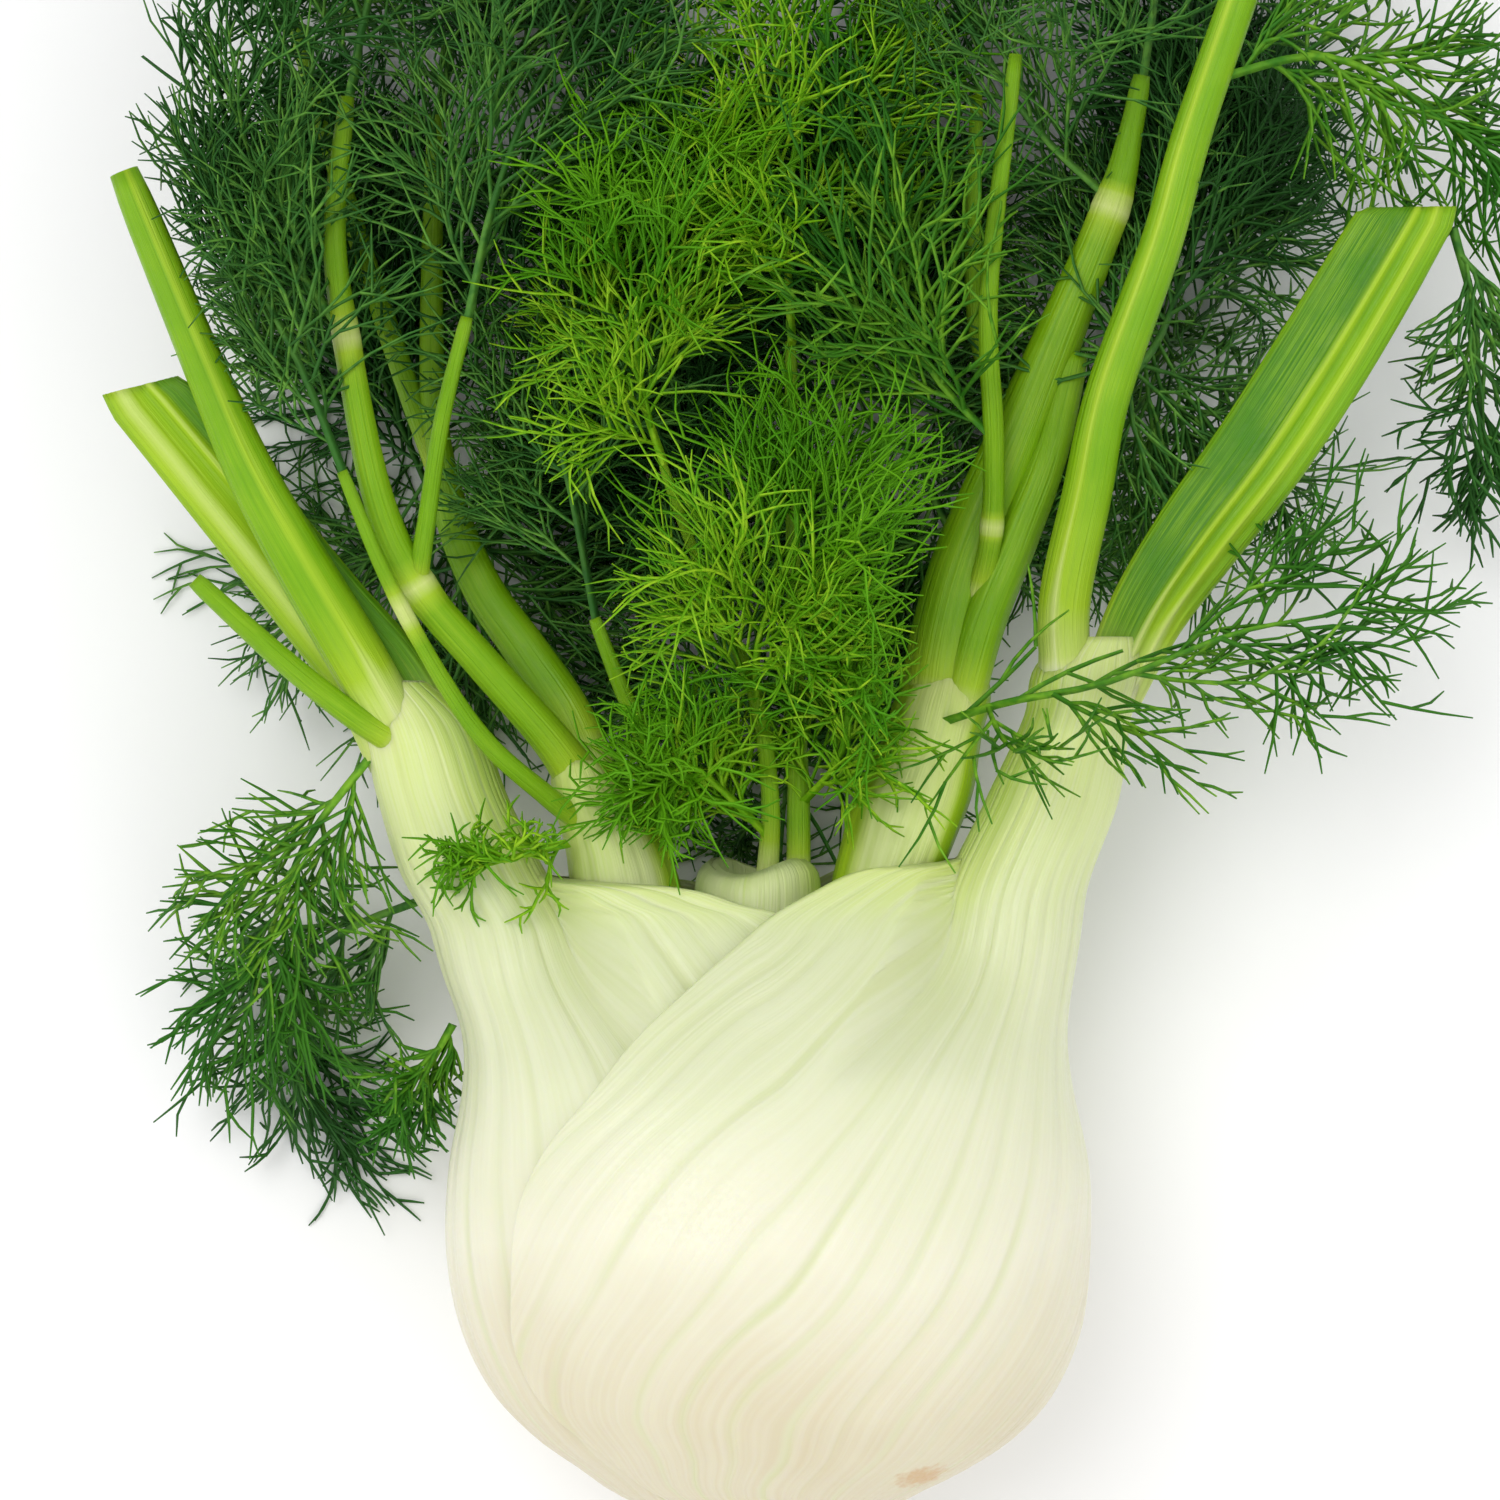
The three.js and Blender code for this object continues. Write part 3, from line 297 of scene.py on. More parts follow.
HALF_WIDTH = 50
INNER_GAP = 0.5
WING_TURN = 0.79 * math.pi
PETIOLE_REACH = 0.97 * math.pi
RIB_RELIEF = 0.42
# Shares of the way round a sheath's skin: its outside, and each of its two rims
OUTSIDE_SHARE = 0.70
MARGIN_SHARE = 0.02
LOWEST = -42
# Heights between which the ribs bend, and how softly
SHOULDER, SHOULDER_SPAN = 34, 9
SWEEP_START, SWEEP_SPAN, SWEEP_STRENGTH = -8, 8, 1.6
# Heights at which the middle of a sheath starts to turn into its petiole, and at which it has
PETIOLE_START, PETIOLE_END = 24, 50
INNER_LEAF_END = 56
SHEATH_SKIN, STALK_SKIN, CUT_FACE = 0, 1, 2


def lerp(low, high, share):
    return low + (high - low) * share


def smooth(low, high, value):
    share = min(1.0, max(0.0, (value - low) / (high - low)))
    return share * share * (3 - 2 * share)


def read_table(table, at):
    """Smooth reading between the rows (at, value, value, ...) of a table."""
    last = len(table) - 1
    if at <= table[0][0]:
        return table[0][1:]
    if at >= table[last][0]:
        return table[last][1:]
    i = 0
    while table[i + 1][0] < at:
        i += 1
    before, low, high, after = table[max(0, i - 1)], table[i], table[i + 1], table[min(last, i + 2)]
    span = high[0] - low[0]
    u = (at - low[0]) / span
    rise = u * u * (3 - 2 * u)
    start = u * (1 - u) * (1 - u) * span / (high[0] - before[0])
    end = u * u * (1 - u) * span / (after[0] - low[0])
    return tuple(
        low[c] + (high[c] - low[c]) * rise + (high[c] - before[c]) * start - (after[c] - low[c]) * end
        for c in range(1, len(low))
    )


def bulb_point(y, turn, depth):
    left, right, back, front = read_table(BULB_OUTLINE, y)
    across, up = math.cos(turn), math.sin(turn)
    dx = (right - left) / 2 * math.copysign(abs(across) ** (2 / SECTION_POWER), across)
    dz = (front - back) / 2 * math.copysign(abs(up) ** (2 / SECTION_POWER), up)
    keep = 1 - depth / math.hypot(dx, dz)
    return (left + right) / 2 + dx * keep, (back + front) / 2 + dz * keep


def angle_at(y, x):
    left, right = read_table(BULB_OUTLINE, y)[:2]
    share = min(0.985, max(-0.985, (x - (left + right) / 2) / ((right - left) / 2)))
    return math.acos(math.copysign(abs(share) ** (SECTION_POWER / 2), share))


def sheath_thickness(from_edge):
    return lerp(MARGIN_THICKNESS, SHEATH_THICKNESS, 1 - math.exp(-max(0, from_edge) / THICKENING_LENGTH))


def sheath_depth(side, y, turn):
    """How far the outside of a sheath lies inside the bulb's outline."""
    if side > 0:
        return 0
    edge = angle_at(y, read_table(RIGHT_SHEATH_EDGE, y)[0])
    around = abs(math.atan2(math.sin(turn), math.cos(turn)))
    inside = (edge - around) * HALF_WIDTH
    if inside > 0:
        return sheath_thickness(inside) + LEAF_GAP
    return (MARGIN_THICKNESS + LEAF_GAP) * math.exp(inside / 14)


def rib_number(s, count):
    """Counts the ribs across a leaf. A whole number is a groove, and no two ribs are quite alike."""
    return s * count + 0.35 * math.sin(s * 9.1 + 0.7) + 0.2 * math.sin(s * 22 + 1.3)


def rib_groove(number):
    strength = 0.6 + 0.4 * math.sin(math.floor(number + 0.5) * 2.4)
    return strength * (0.5 + 0.5 * math.cos(2 * math.pi * number)) ** 3


def petiole_turn(s, wing_share):
    """Where a place across the sheath ends up round the petiole. The two wings share its inner side."""
    from_side = min(s, 1 - s)
    if from_side < wing_share:
        turn = lerp(PETIOLE_REACH, WING_TURN, from_side / wing_share)
    else:
        turn = lerp(WING_TURN, 0, (from_side - wing_share) / (0.5 - wing_share))
    return turn if s < 0.5 else -turn


def clear_of(table, point):
    """Moves a point out of the inner leaf that the sheath lies against."""
    x, z, half_width, half_depth = read_table(table, point.y)
    away = Vector(((point.x - x) / (half_width + INNER_GAP), (point.z - z) / (half_depth + INNER_GAP)))
    if point.y < 20 or not 0.01 < away.length < 1:
        return point
    return Vector((lerp(x, point.x, 1 / away.length), point.y, lerp(z, point.z, 1 / away.length)))


def new_body():
    body = bmesh.new()
    body.loops.layers.uv.new("fibre")
    body.verts.layers.float.new("green")
    body.verts.layers.float.new("shade")
    return body


def add_skin(body, columns, rows, place, skin):
    """A closed tube from a grid. place(around, along) gives a point in mm, its rib number, green and shade,
    and skin is the material's slot."""
    fibre = body.loops.layers.uv["fibre"]
    green = body.verts.layers.float["green"]
    shade = body.verts.layers.float["shade"]
    grid = bmesh.ops.create_grid(body, x_segments=columns, y_segments=rows, size=0.5)["verts"]
    for vert in grid:
        along = vert.co.y + 0.5
        point, number, vert[green], vert[shade] = place(vert.co.x + 0.5, along)
        vert.co = Vector(point) * MM
        for loop in vert.link_loops:
            loop[fibre].uv = (number, along)
            loop.face.material_index = skin
    bmesh.ops.remove_doubles(body, verts=grid, dist=2e-6)
    rims = [edge for edge in body.edges if edge.is_boundary]
    for face in bmesh.ops.holes_fill(body, edges=rims, sides=0)["faces"]:
        face.material_index = CUT_FACE
        bmesh.ops.inset_region(body, faces=[face], thickness=0.0005, depth=-0.0003, use_even_offset=False)


def outer_leaf(side, edge_table, petiole, inside_leaf, ribs, twist, notch, lobe, wing_share, rise):
    """twist slants the ribs. notch and lobe are the heights of the sheath's top edge beside the petiole and
    along its wing. wing_share and rise set how wide the wing is and how soon its edge climbs."""
    top = petiole[-1][0]
    row_heights = ((0, LOWEST), (0.42, 43), (0.78, 61), (1, top))

    def rib_at(s, y):
        below_shoulder = SHOULDER - SHOULDER_SPAN * math.log1p(math.exp((SHOULDER - y) / SHOULDER_SPAN))
        low_sweep = SWEEP_STRENGTH * SWEEP_SPAN * math.log1p(math.exp((SWEEP_START - y) / SWEEP_SPAN))
        return rib_number(s - twist * (below_shoulder - low_sweep), ribs)

    def sheath_place(s, inner, y):
        edge_angle = angle_at(y, read_table(edge_table, y)[0])
        stem_x, stem_z, stem_width, stem_depth = read_table(petiole, y)
        sweep = edge_angle if side > 0 else math.pi - edge_angle
        turn = lerp(sweep, -sweep, s)
        t = turn if side > 0 else math.pi - turn
        from_side = min(s, 1 - s)
        groove = 0 if inner else RIB_RELIEF * rib_groove(rib_at(s, y)) * smooth(0, 0.03, from_side)
        groove *= lerp(1, 0.6, smooth(45, 70, y)) * smooth(-41, -24, y)
        thickness = sheath_thickness(from_side * 2 * sweep * HALF_WIDTH) if inner else 0
        sheath_x, sheath_z = bulb_point(y, t, sheath_depth(side, y, t) + thickness + groove)
        wing = max(0, 1 - from_side / wing_share)
        fold = lerp(notch, lobe, smooth(0, rise, wing))
        start = lerp(PETIOLE_START, fold - 0.4, smooth(0, 0.3, wing))
        end = lerp(PETIOLE_END, fold + 0.9, smooth(0, 0.12, wing))
        blend = smooth(start, end, y)
        stem_turn = petiole_turn(s, wing_share)
        ridge = 1 - groove / 12
        if inner:
            x = stem_x - side * stem_width * 0.88
            z = stem_z + stem_depth * lerp(0.16, -0.16, s)
        else:
            x = stem_x + side * stem_width * ridge * math.cos(stem_turn)
            z = stem_z + stem_depth * ridge * math.sin(stem_turn)
        point = Vector((lerp(sheath_x, x, blend), y, max(0, lerp(sheath_z, z, blend))))
        return clear_of(inside_leaf, point) if y < INNER_LEAF_END else point

    def height_at(along):
        for (before, low), (after, high) in zip(row_heights, row_heights[1:]):
            if along <= after + 1e-9:
                return lerp(low, high, (along - before) / (after - before))

    def place(around, along):
        y = height_at(along)
        s = min(1, around / OUTSIDE_SHARE)
        flank = smooth(0.5, 0.8, abs(petiole_turn(s, wing_share)) / math.pi) * smooth(44, 66, y)
        if around <= OUTSIDE_SHARE:
            point = sheath_place(s, False, y)
        elif around < OUTSIDE_SHARE + MARGIN_SHARE or around > 1 - MARGIN_SHARE:
            far = around < 0.9
            s = 1 if far else 0
            share = (around - OUTSIDE_SHARE if far else 1 - around) / MARGIN_SHARE
            outside, inside = sheath_place(s, False, y), sheath_place(s, True, y)
            ahead = (outside - sheath_place(abs(s - 0.01), False, y)).normalized()
            bulge = math.sin(math.pi * share) * (outside - inside).length * 0.5
            point = outside.lerp(inside, 0.5 - 0.5 * math.cos(math.pi * share)) + ahead * bulge
            point.z = max(0, point.z)
        else:
            s = 1 - (around - OUTSIDE_SHARE - MARGIN_SHARE) / (1 - OUTSIDE_SHARE - 2 * MARGIN_SHARE)
            point = sheath_place(s, True, y)
        return point, rib_at(s, y), 0.30 * smooth(30, top, y) + 0.3 * flank, 0

    return place


def stalk_skin(body, rows_table, columns=28, steps=44, channel=0.0, ribs=9, green=(0.35, 1.0, 0.35),
               hollow_shade=None, ridges_and_highlights=(), collars=(), slant=0.0):
    """A stalk along listed points. channel hollows its upper face, less deeply under ridges, and on every
    stalk ridges are paler stripes of painted highlight. Between the sides in hollow the upper face gets
    painted shade of dark green. collars are pale swollen rings, and slant tilts the cut at its end."""
    table = [(i, *row) for i, row in enumerate(rows_table)]
    last = len(rows_table) - 1
    length = sum((Vector(a[:3]) - Vector(b[:3])).length for a, b in zip(rows_table, rows_table[1:]))

    def place(around, along):
        at = last * along
        x, y, z, half_width, half_depth = read_table(table, at)
        ahead, behind = read_table(table, min(last, at + 0.05)), read_table(table, max(0, at - 0.05))
        heading = (Vector(ahead[:3]) - Vector(behind[:3])).normalized()
        across = heading.cross(Vector((0, 0, 1))).normalized()
        up = across.cross(heading)
        turn = -math.pi / 2 - 2 * math.pi * around
        side = math.cos(turn)
        number = ribs * 2 * around
        ridge = 1 - 0.035 * (0.5 + 0.5 * math.cos(2 * math.pi * number)) ** 2
        collar = max([smooth(4.5, 0.5, abs(along - joint) * length) for joint in collars], default=0)
        ridge *= (1 + 0.1 * collar) * (1 - 0.14 * smooth(0.965, 1, along))
        upper = smooth(0, 0.25, math.sin(turn))
        ridge_and_highlight = sum(smooth(width, 0, abs(side - centre)) for centre, width in ridges_and_highlights) * upper
        dip = channel * math.sin(turn) ** 2 * half_depth * (1 - 0.6 * ridge_and_highlight) if math.sin(turn) > 0 else 0
        rise = math.sin(turn) * half_depth * ridge - dip
        point = Vector((x, y, z)) + across * side * half_width * ridge + up * rise
        point += heading * slant * side * half_width * smooth(0.9, 1, along)
        # Paler tone along the ridges: a painted highlight.
        tone = lerp(green[0], green[1], smooth(0, green[2], along)) * (1 - 0.45 * ridge_and_highlight) * (1 - 0.7 * collar)
        # Painted shade: the upper face between the sides in hollow is darkened, except on ridges and near the
        # base.
        dark = 0
        if hollow_shade:
            left, right = hollow_shade
            dark = upper * smooth(left, left + 0.15, side) * smooth(right, right - 0.15, side)
        return point, number, tone, dark * (1 - ridge_and_highlight) * smooth(0, 14 / length, along)

    add_skin(body, columns, steps, place, STALK_SKIN)


def make_fibres():
    """Fine lines along the fibres: x of the map runs round the piece and y along it."""
    group, entry, result = empty_group(
        "fibre_lines",
        [("Map", "NodeSocketVector", None), ("Line Width", "NodeSocketFloat", 0.16)],
        [("Lines", "NodeSocketFloat"), ("Streaks", "NodeSocketFloat")],
    )
    split = group.nodes.new("ShaderNodeSeparateXYZ")
    group.links.new(entry.outputs["Map"], split.inputs[0])
    wobble = add_noise(group, add_stretch(group, entry.outputs["Map"], 0.3, 5, 1), 1.0, 1.0)
    shift = add_math(group, "MULTIPLY", add_math(group, "SUBTRACT", wobble, 0.5), 0.12)
    fine = add_math(group, "ADD", split.outputs["X"], shift)
    near = add_math(group, "PINGPONG", fine, 0.5)
    line = add_range(group, near, 0.0, entry.outputs["Line Width"], 1.0, 0.0)
    number = add_math(group, "FLOOR", add_math(group, "ADD", fine, 0.5))
    chance = group.nodes.new("ShaderNodeTexWhiteNoise")
    chance.noise_dimensions = "1D"
    group.links.new(number, chance.inputs["W"])
    fade = add_noise(group, add_stretch(group, entry.outputs["Map"], 0.7, 4, 1), 1.0, 2.0)
    strength = add_math(group, "MULTIPLY", chance.outputs["Value"], add_range(group, fade, 0.3, 0.65))
    group.links.new(add_math(group, "MULTIPLY", line, strength), result.inputs["Lines"])
    streaks = add_noise(group, add_stretch(group, entry.outputs["Map"], 7, 4, 1), 1.0, 3.0)
    group.links.new(add_range(group, streaks, 0.3, 0.7), result.inputs["Streaks"])
    return group


fibre_group = make_fibres()


def add_fibres(tree, line_width):
    node = tree.nodes.new("ShaderNodeGroup")
    node.node_tree = fibre_group
    node.inputs["Line Width"].default_value = line_width
    source = tree.nodes.new("ShaderNodeUVMap")
    source.uv_map = "fibre"
    tree.links.new(source.outputs["UV"], node.inputs["Map"])
    return node.outputs["Lines"], node.outputs["Streaks"]


def add_attribute(tree, name):
    node = tree.nodes.new("ShaderNodeAttribute")
    node.attribute_name = name
    return node.outputs["Fac"]


def add_ramp(tree, factor, stops):
    node = tree.nodes.new("ShaderNodeValToRGB")
    ramp = node.color_ramp
    while len(ramp.elements) < len(stops):
        ramp.elements.new(0.5)
    for element, (position, colour) in zip(ramp.elements, stops):
        element.position = position
        element.color = colour
    tree.links.new(factor, node.inputs["Fac"])
    return node.outputs["Color"]


def make_stalk_skin():
    """White at green 0, pale at 0.3 and full green at 1, with fibres, and dark green painted shade where the
    shade attribute marks the inside of a channel.
    """
    material, tree, shader = new_material("stalk_skin", 0.4, 0.15)
    shader.inputs["Specular IOR Level"].default_value = 0.3
    lines, streaks = add_fibres(tree, 0.3)
    patches, grain = add_mottle(tree, 90.0, 1400.0)
    green = add_attribute(tree, "green")
    colour = add_ramp(tree, green, [
        (0.0, linear(232, 234, 208)), (0.3, linear(210, 224, 136)), (0.6, linear(164, 198, 44)),
        (1.0, linear(118, 170, 2)),
    ])
    # The streaked dark green of the painted shade inside a channel.
    dark = add_mix(tree, streaks, linear(50, 112, 6), linear(74, 138, 12))
    hollow_shade = add_math(tree, "MULTIPLY", add_attribute(tree, "shade"), 0.9)
    colour = add_mix(tree, hollow_shade, colour, dark)
    strength = add_range(tree, green, 0.0, 1.0, 0.5, 0.45)
    depth = add_math(tree, "MULTIPLY", lines, strength)
    line_colour = add_ramp(tree, green, [
        (0.0, linear(212, 220, 152)), (0.4, linear(178, 204, 76)), (1.0, linear(86, 142, 4)),
    ])
    colour = add_mix(tree, depth, colour, line_colour)
    lighter = add_math(tree, "MULTIPLY", add_math(tree, "MULTIPLY", streaks, patches), 0.3)
    colour = add_mix(tree, lighter, colour, linear(186, 216, 50))
    tree.links.new(colour, shader.inputs["Base Color"])
    relief = add_math(tree, "SUBTRACT", add_math(tree, "MULTIPLY", streaks, 0.4), lines)
    add_bump(tree, shader, relief, 0.00012)
    tree.links.new(add_range(tree, grain, 0, 1, 0.32, 0.46), shader.inputs["Roughness"])
    return material


def make_sheath_skin():
    material, tree, shader = new_material("sheath_wax", 0.4, 0.35)
    place = object_place(tree)
    split = tree.nodes.new("ShaderNodeSeparateXYZ")
    tree.links.new(place, split.inputs[0])
    lines, streaks = add_fibres(tree, 0.2)
    patches, grain = add_mottle(tree, 34.0, 1300.0)
    height = add_range(tree, split.outputs["Y"], -0.045, 0.06)
    shift = add_math(tree, "MULTIPLY", add_math(tree, "SUBTRACT", patches, 0.5), 0.13)
    uneven = add_math(tree, "ADD", height, shift)
    colour = add_ramp(tree, uneven, [
        (0.0, linear(214, 202, 170)), (0.4, linear(231, 228, 204)), (0.72, linear(220, 224, 186)),
        (1.0, linear(206, 214, 162)),
    ])
    green = add_attribute(tree, "green")
    upper = add_ramp(tree, green, [
        (0.0, linear(210, 219, 168)), (0.3, linear(205, 220, 126)), (0.6, linear(172, 202, 50)),
    ])
    colour = add_mix(tree, add_range(tree, green, 0.0, 0.16), colour, upper)
    colour = add_mix(tree, add_math(tree, "MULTIPLY", lines, 0.8), colour, linear(206, 214, 158))
    colour = add_mix(tree, add_math(tree, "MULTIPLY", streaks, 0.2), colour, linear(240, 241, 226))
    colour = add_blemish(tree, place, colour)
    tree.links.new(colour, shader.inputs["Base Color"])
    relief = add_math(tree, "SUBTRACT", add_math(tree, "MULTIPLY", streaks, 0.3), lines)
    add_bump(tree, shader, relief, 0.00012)
    tree.links.new(add_range(tree, grain, 0, 1, 0.34, 0.5), shader.inputs["Roughness"])
    return material


def add_blemish(tree, place, colour):
    """One small tan bruise low on the front, with an uneven rim."""
    shift = tree.nodes.new("ShaderNodeMapping")
    shift.vector_type = "TEXTURE"
    shift.inputs["Location"].default_value = (0.0235, -0.0352, 0.0595)
    shift.inputs["Scale"].default_value = (0.0048, 0.0026, 0.008)
    tree.links.new(place, shift.inputs["Vector"])
    length = tree.nodes.new("ShaderNodeVectorMath")
    length.operation = "LENGTH"
    tree.links.new(shift.outputs["Vector"], length.inputs[0])
    ragged = add_math(tree, "MULTIPLY", add_noise(tree, place, 700.0, 3.0), 1.3)
    reach = add_math(tree, "ADD", length.outputs["Value"], ragged)
    return add_mix(tree, add_range(tree, reach, 1.1, 1.8, 0.8, 0.0), colour, linear(206, 168, 118))


sheath_material = make_sheath_skin()
stalk_material = make_stalk_skin()
cut_material, tree, shader = new_material("cut_face", 0.6, 0.2)
patches, grain = add_mottle(tree, 500.0, 2600.0)
cut_colour = add_mix(tree, patches, linear(206, 218, 150), linear(168, 184, 104))
tree.links.new(add_mix(tree, add_math(tree, "MULTIPLY", grain, 0.4), cut_colour, linear(226, 226, 180)),
               shader.inputs["Base Color"])
add_bump(tree, shader, grain, 0.0004)
LEAF_MATERIALS = [sheath_material, stalk_material, cut_material]

right_leaf = new_body()
right_shape = outer_leaf(1, RIGHT_SHEATH_EDGE, RIGHT_PETIOLE, INNER_RIGHT, ribs=30, twist=0.0015, notch=48.5,
                         lobe=57, wing_share=0.16, rise=0.6)
add_skin(right_leaf, 270, 130, right_shape, SHEATH_SKIN)
stalk_skin(right_leaf, RIGHT_LONG_STALK, ridges_and_highlights=((-0.45, 0.3),), collars=(0.03,))
stalk_skin(right_leaf, RIGHT_WIDE_STALK, columns=72, steps=56, channel=0.75, ribs=14, hollow_shade=(-1, 0.2),
           ridges_and_highlights=((0.12, 0.16), (0.55, 0.2)), slant=0.5)
place_piece("leaf_right_sheath", right_leaf, LEAF_MATERIALS, "leaf_right_outer")

# Left outer leaf
# The leaf on the other side. Its sheath passes under the right one and shows left of the diagonal edge.
# Its petiole carries a wide channelled stalk, a slim one in front of it and a thin side shoot.
LEFT_SHEATH_EDGE = [
    (-42, 8), (-31, 20), (-15, 28), (0, 30), (15, 26), (30, 18), (40, 11), (46, 6), (49.8, 1.4), (51, -4.6),
    (53, -11), (54, -17), (54.6, -22),
]
LEFT_PETIOLE = [
    (20, -38, 37, 12, 13), (46, -41, 37, 11.6, 11.5), (56, -46.1, 37.5, 11.3, 10.4),
    (67, -50.5, 38, 10.2, 9.2), (76, -53.2, 38.5, 9.5, 7.8), (80, -55, 39, 8.8, 6.2),
    (85, -58.4, 39.8, 6.2, 4),
]
INNER_LEFT = [
    (-40, -6.3, 37, 2.4, 4), (-30, -12, 37, 6, 10), (-15, -21, 37, 10, 17), (5, -25.5, 37, 11.5, 19),
    (28, -23.5, 36, 9.5, 16), (42, -21.8, 35.5, 7.6, 11.5), (53, -22.3, 35.5, 8.6, 10.6),
    (60, -23.9, 36, 7.9, 10), (66, -26.4, 37, 7, 8.6), (71, -28.6, 38, 5.2, 6.4), (73, -29.3, 38.4, 3.6, 4.6),
]
LEFT_WIDE_STALK = [
    (-54.5, 75, 38.5, 8.2, 7), (-60.5, 86, 40, 7.6, 5.4), (-68.5, 96, 41.5, 7.1, 4.4),
    (-76.5, 106, 42.5, 6.9, 4), (-84.5, 116, 43.5, 6.8, 3.8), (-96.5, 130.5, 45, 6.3, 3.4),
]
LEFT_SLIM_STALK = [
    (-58, 79, 41, 4.4, 4), (-64, 90, 45, 4.6, 4), (-72, 104, 48.5, 4.3, 3.7), (-79, 117, 50.5, 3.8, 3.3),
    (-85, 131, 52, 3.3, 3), (-97.6, 162, 54.5, 2.6, 2.4),
]
LEFT_THIN_STALK = [
    (-56, 75, 42, 2.4, 2.4), (-64, 80, 45, 2.1, 2.1), (-74.5, 88.5, 47.5, 1.9, 1.8),
    (-87.5, 100.5, 50, 1.5, 1.4),
]
left_leaf = new_body()
left_shape = outer_leaf(-1, LEFT_SHEATH_EDGE, LEFT_PETIOLE, INNER_LEFT, ribs=26, twist=0.0004, notch=46.5,
                        lobe=54.3, wing_share=0.19, rise=0.4)
add_skin(left_leaf, 220, 120, left_shape, SHEATH_SKIN)
stalk_skin(left_leaf, LEFT_WIDE_STALK, columns=72, steps=56, channel=0.75, ribs=14, green=(0.35, 0.8, 0.35),
           hollow_shade=(0.3, 1.1), ridges_and_highlights=((0.22, 0.14), (-0.5, 0.5)), slant=-0.4)
stalk_skin(left_leaf, LEFT_SLIM_STALK, ridges_and_highlights=((0.3, 0.25),))
stalk_skin(left_leaf, LEFT_THIN_STALK, columns=18)
place_piece("leaf_left_sheath", left_leaf, LEAF_MATERIALS, "leaf_left_outer")

# Inner leaves and centre leaf
# Younger leaves between the two outer ones. Each is a round pale petiole that splits into green stalks.
# They grow from the middle of the root plate, so only their upper ends show.
CENTRE_LEAF = [
    (-40, 0, 37, 2.6, 4.5), (-30, -0.5, 37, 4.2, 11), (-15, -1.8, 37, 7.2, 18), (5, -3, 37, 9, 20),
    (28, -2.8, 36, 9.2, 16), (42, -2.4, 35.5, 9.8, 12.5), (50, -1.8, 35.5, 9.9, 11.8),
    (55, -1.7, 35.5, 9.4, 11), (56.6, -1.7, 35.5, 7.6, 9),
]
INNER_RIGHT_STALKS = [
    [(26.2, 78, 35, 6.4, 5.6), (27.5, 90, 35.5, 6, 5), (31, 104, 36, 5.6, 4.4), (38.3, 122, 36.5, 4.9, 4),
     (45.5, 140, 37, 3.8, 3.4), (53.3, 159.4, 37.5, 2.8, 2.6), (56, 170, 38, 1.9, 1.9),
     (57.7, 179, 39, 1.5, 1.5)],
    [(29, 79, 37, 3.6, 3.6), (33, 94, 38.5, 3.6, 3.4), (38.5, 107.5, 39, 3.3, 3.1),
     (43.5, 120.5, 38.5, 2.8, 2.6), (47.5, 136, 37.5, 2.2, 2.2)],
    [(32, 97, 38, 1.9, 1.9), (34.2, 108, 42.5, 1.8, 1.8), (34.4, 123, 45, 1.7, 1.7),
     (33.6, 145, 47, 1.5, 1.5), (37.5, 180.5, 50, 1.2, 1.2)],
    [(39, 122, 35, 1.6, 1.6), (34, 134, 32.5, 1.5, 1.5), (32, 148, 31.5, 1.4, 1.4),
     (32.5, 177, 32, 1.1, 1.1)],
]
INNER_LEFT_STALKS = [
    [(-27.5, 67, 38, 4, 4), (-33.5, 76, 41, 3.1, 3.1), (-44, 88, 45, 2.8, 2.8), (-53.5, 99.5, 48, 2.7, 2.7),
     (-59.7, 113.5, 50, 2.4, 2.4), (-64.4, 138.4, 52, 2, 2), (-65.9, 154, 53, 1.7, 1.7),
     (-63.9, 173.4, 54, 1.3, 1.3)],
    [(-28, 63, 41, 2, 2), (-34, 67.5, 45, 1.7, 1.7), (-44.9, 78, 49.5, 1.5, 1.5), (-56.6, 98, 54.5, 1.2, 1.2),
     (-64.4, 116.6, 57, 1, 1)],
    [(-53.8, 99.5, 48.5, 1.7, 1.7), (-52.3, 108, 51, 1.5, 1.5), (-49.6, 124.4, 53.5, 1.3, 1.3),
     (-45.7, 140, 55, 1.1, 1.1)],
    [(-20, 61, 36, 1.8, 1.8), (-16.6, 68, 36.5, 1.6, 1.6), (-19.3, 76, 37.5, 1.5, 1.5),
     (-23.2, 85, 38.5, 1.3, 1.3), (-27, 95, 39.5, 1.1, 1.1)],
    [(-26.5, 68, 34, 4, 3.6), (-31.3, 80, 30.5, 3.7, 3.3), (-38, 90, 28.5, 3.5, 3.1),
     (-45, 100, 27.5, 3.2, 2.9), (-50, 112, 26.5, 2.8, 2.6), (-52.7, 126, 25.5, 2.2, 2.2),
     (-53.3, 146, 24.5, 1.8, 1.8), (-52.7, 175, 24, 1.4, 1.4)],
    [(-50.5, 114, 26.5, 1.9, 1.9), (-58.5, 136, 23.5, 1.9, 1.9), (-66.5, 160, 21, 1.7, 1.7),
     (-76, 191, 19, 1.2, 1.2)],
]
CENTRE_STALKS = [
    [(-0.4, 53, 36.5, 1.9, 1.9), (0.2, 67, 38, 1.5, 1.5), (-1.9, 82, 41, 1.3, 1.3), (-7, 95, 44, 1, 1),
     (-12.3, 107, 47, 0.9, 0.9), (-16.2, 118, 49, 0.8, 0.8)],
    [(4.6, 53, 34.5, 2, 2), (4.6, 66, 35, 1.9, 1.9), (4.4, 80, 36, 1.4, 1.4), (3.8, 100, 38, 1.2, 1.2),
     (3.3, 137.5, 43, 1, 1)],
]

# The pale joints where side shoots leave: the start of the stalk, and how far along it the joint is
JOINTS = [((-27.5, 67), 0.43), ((-27.5, 67), 0.71), ((26.2, 78), 0.71), ((32, 97), 0.27), ((-28, 63), 0.72)]


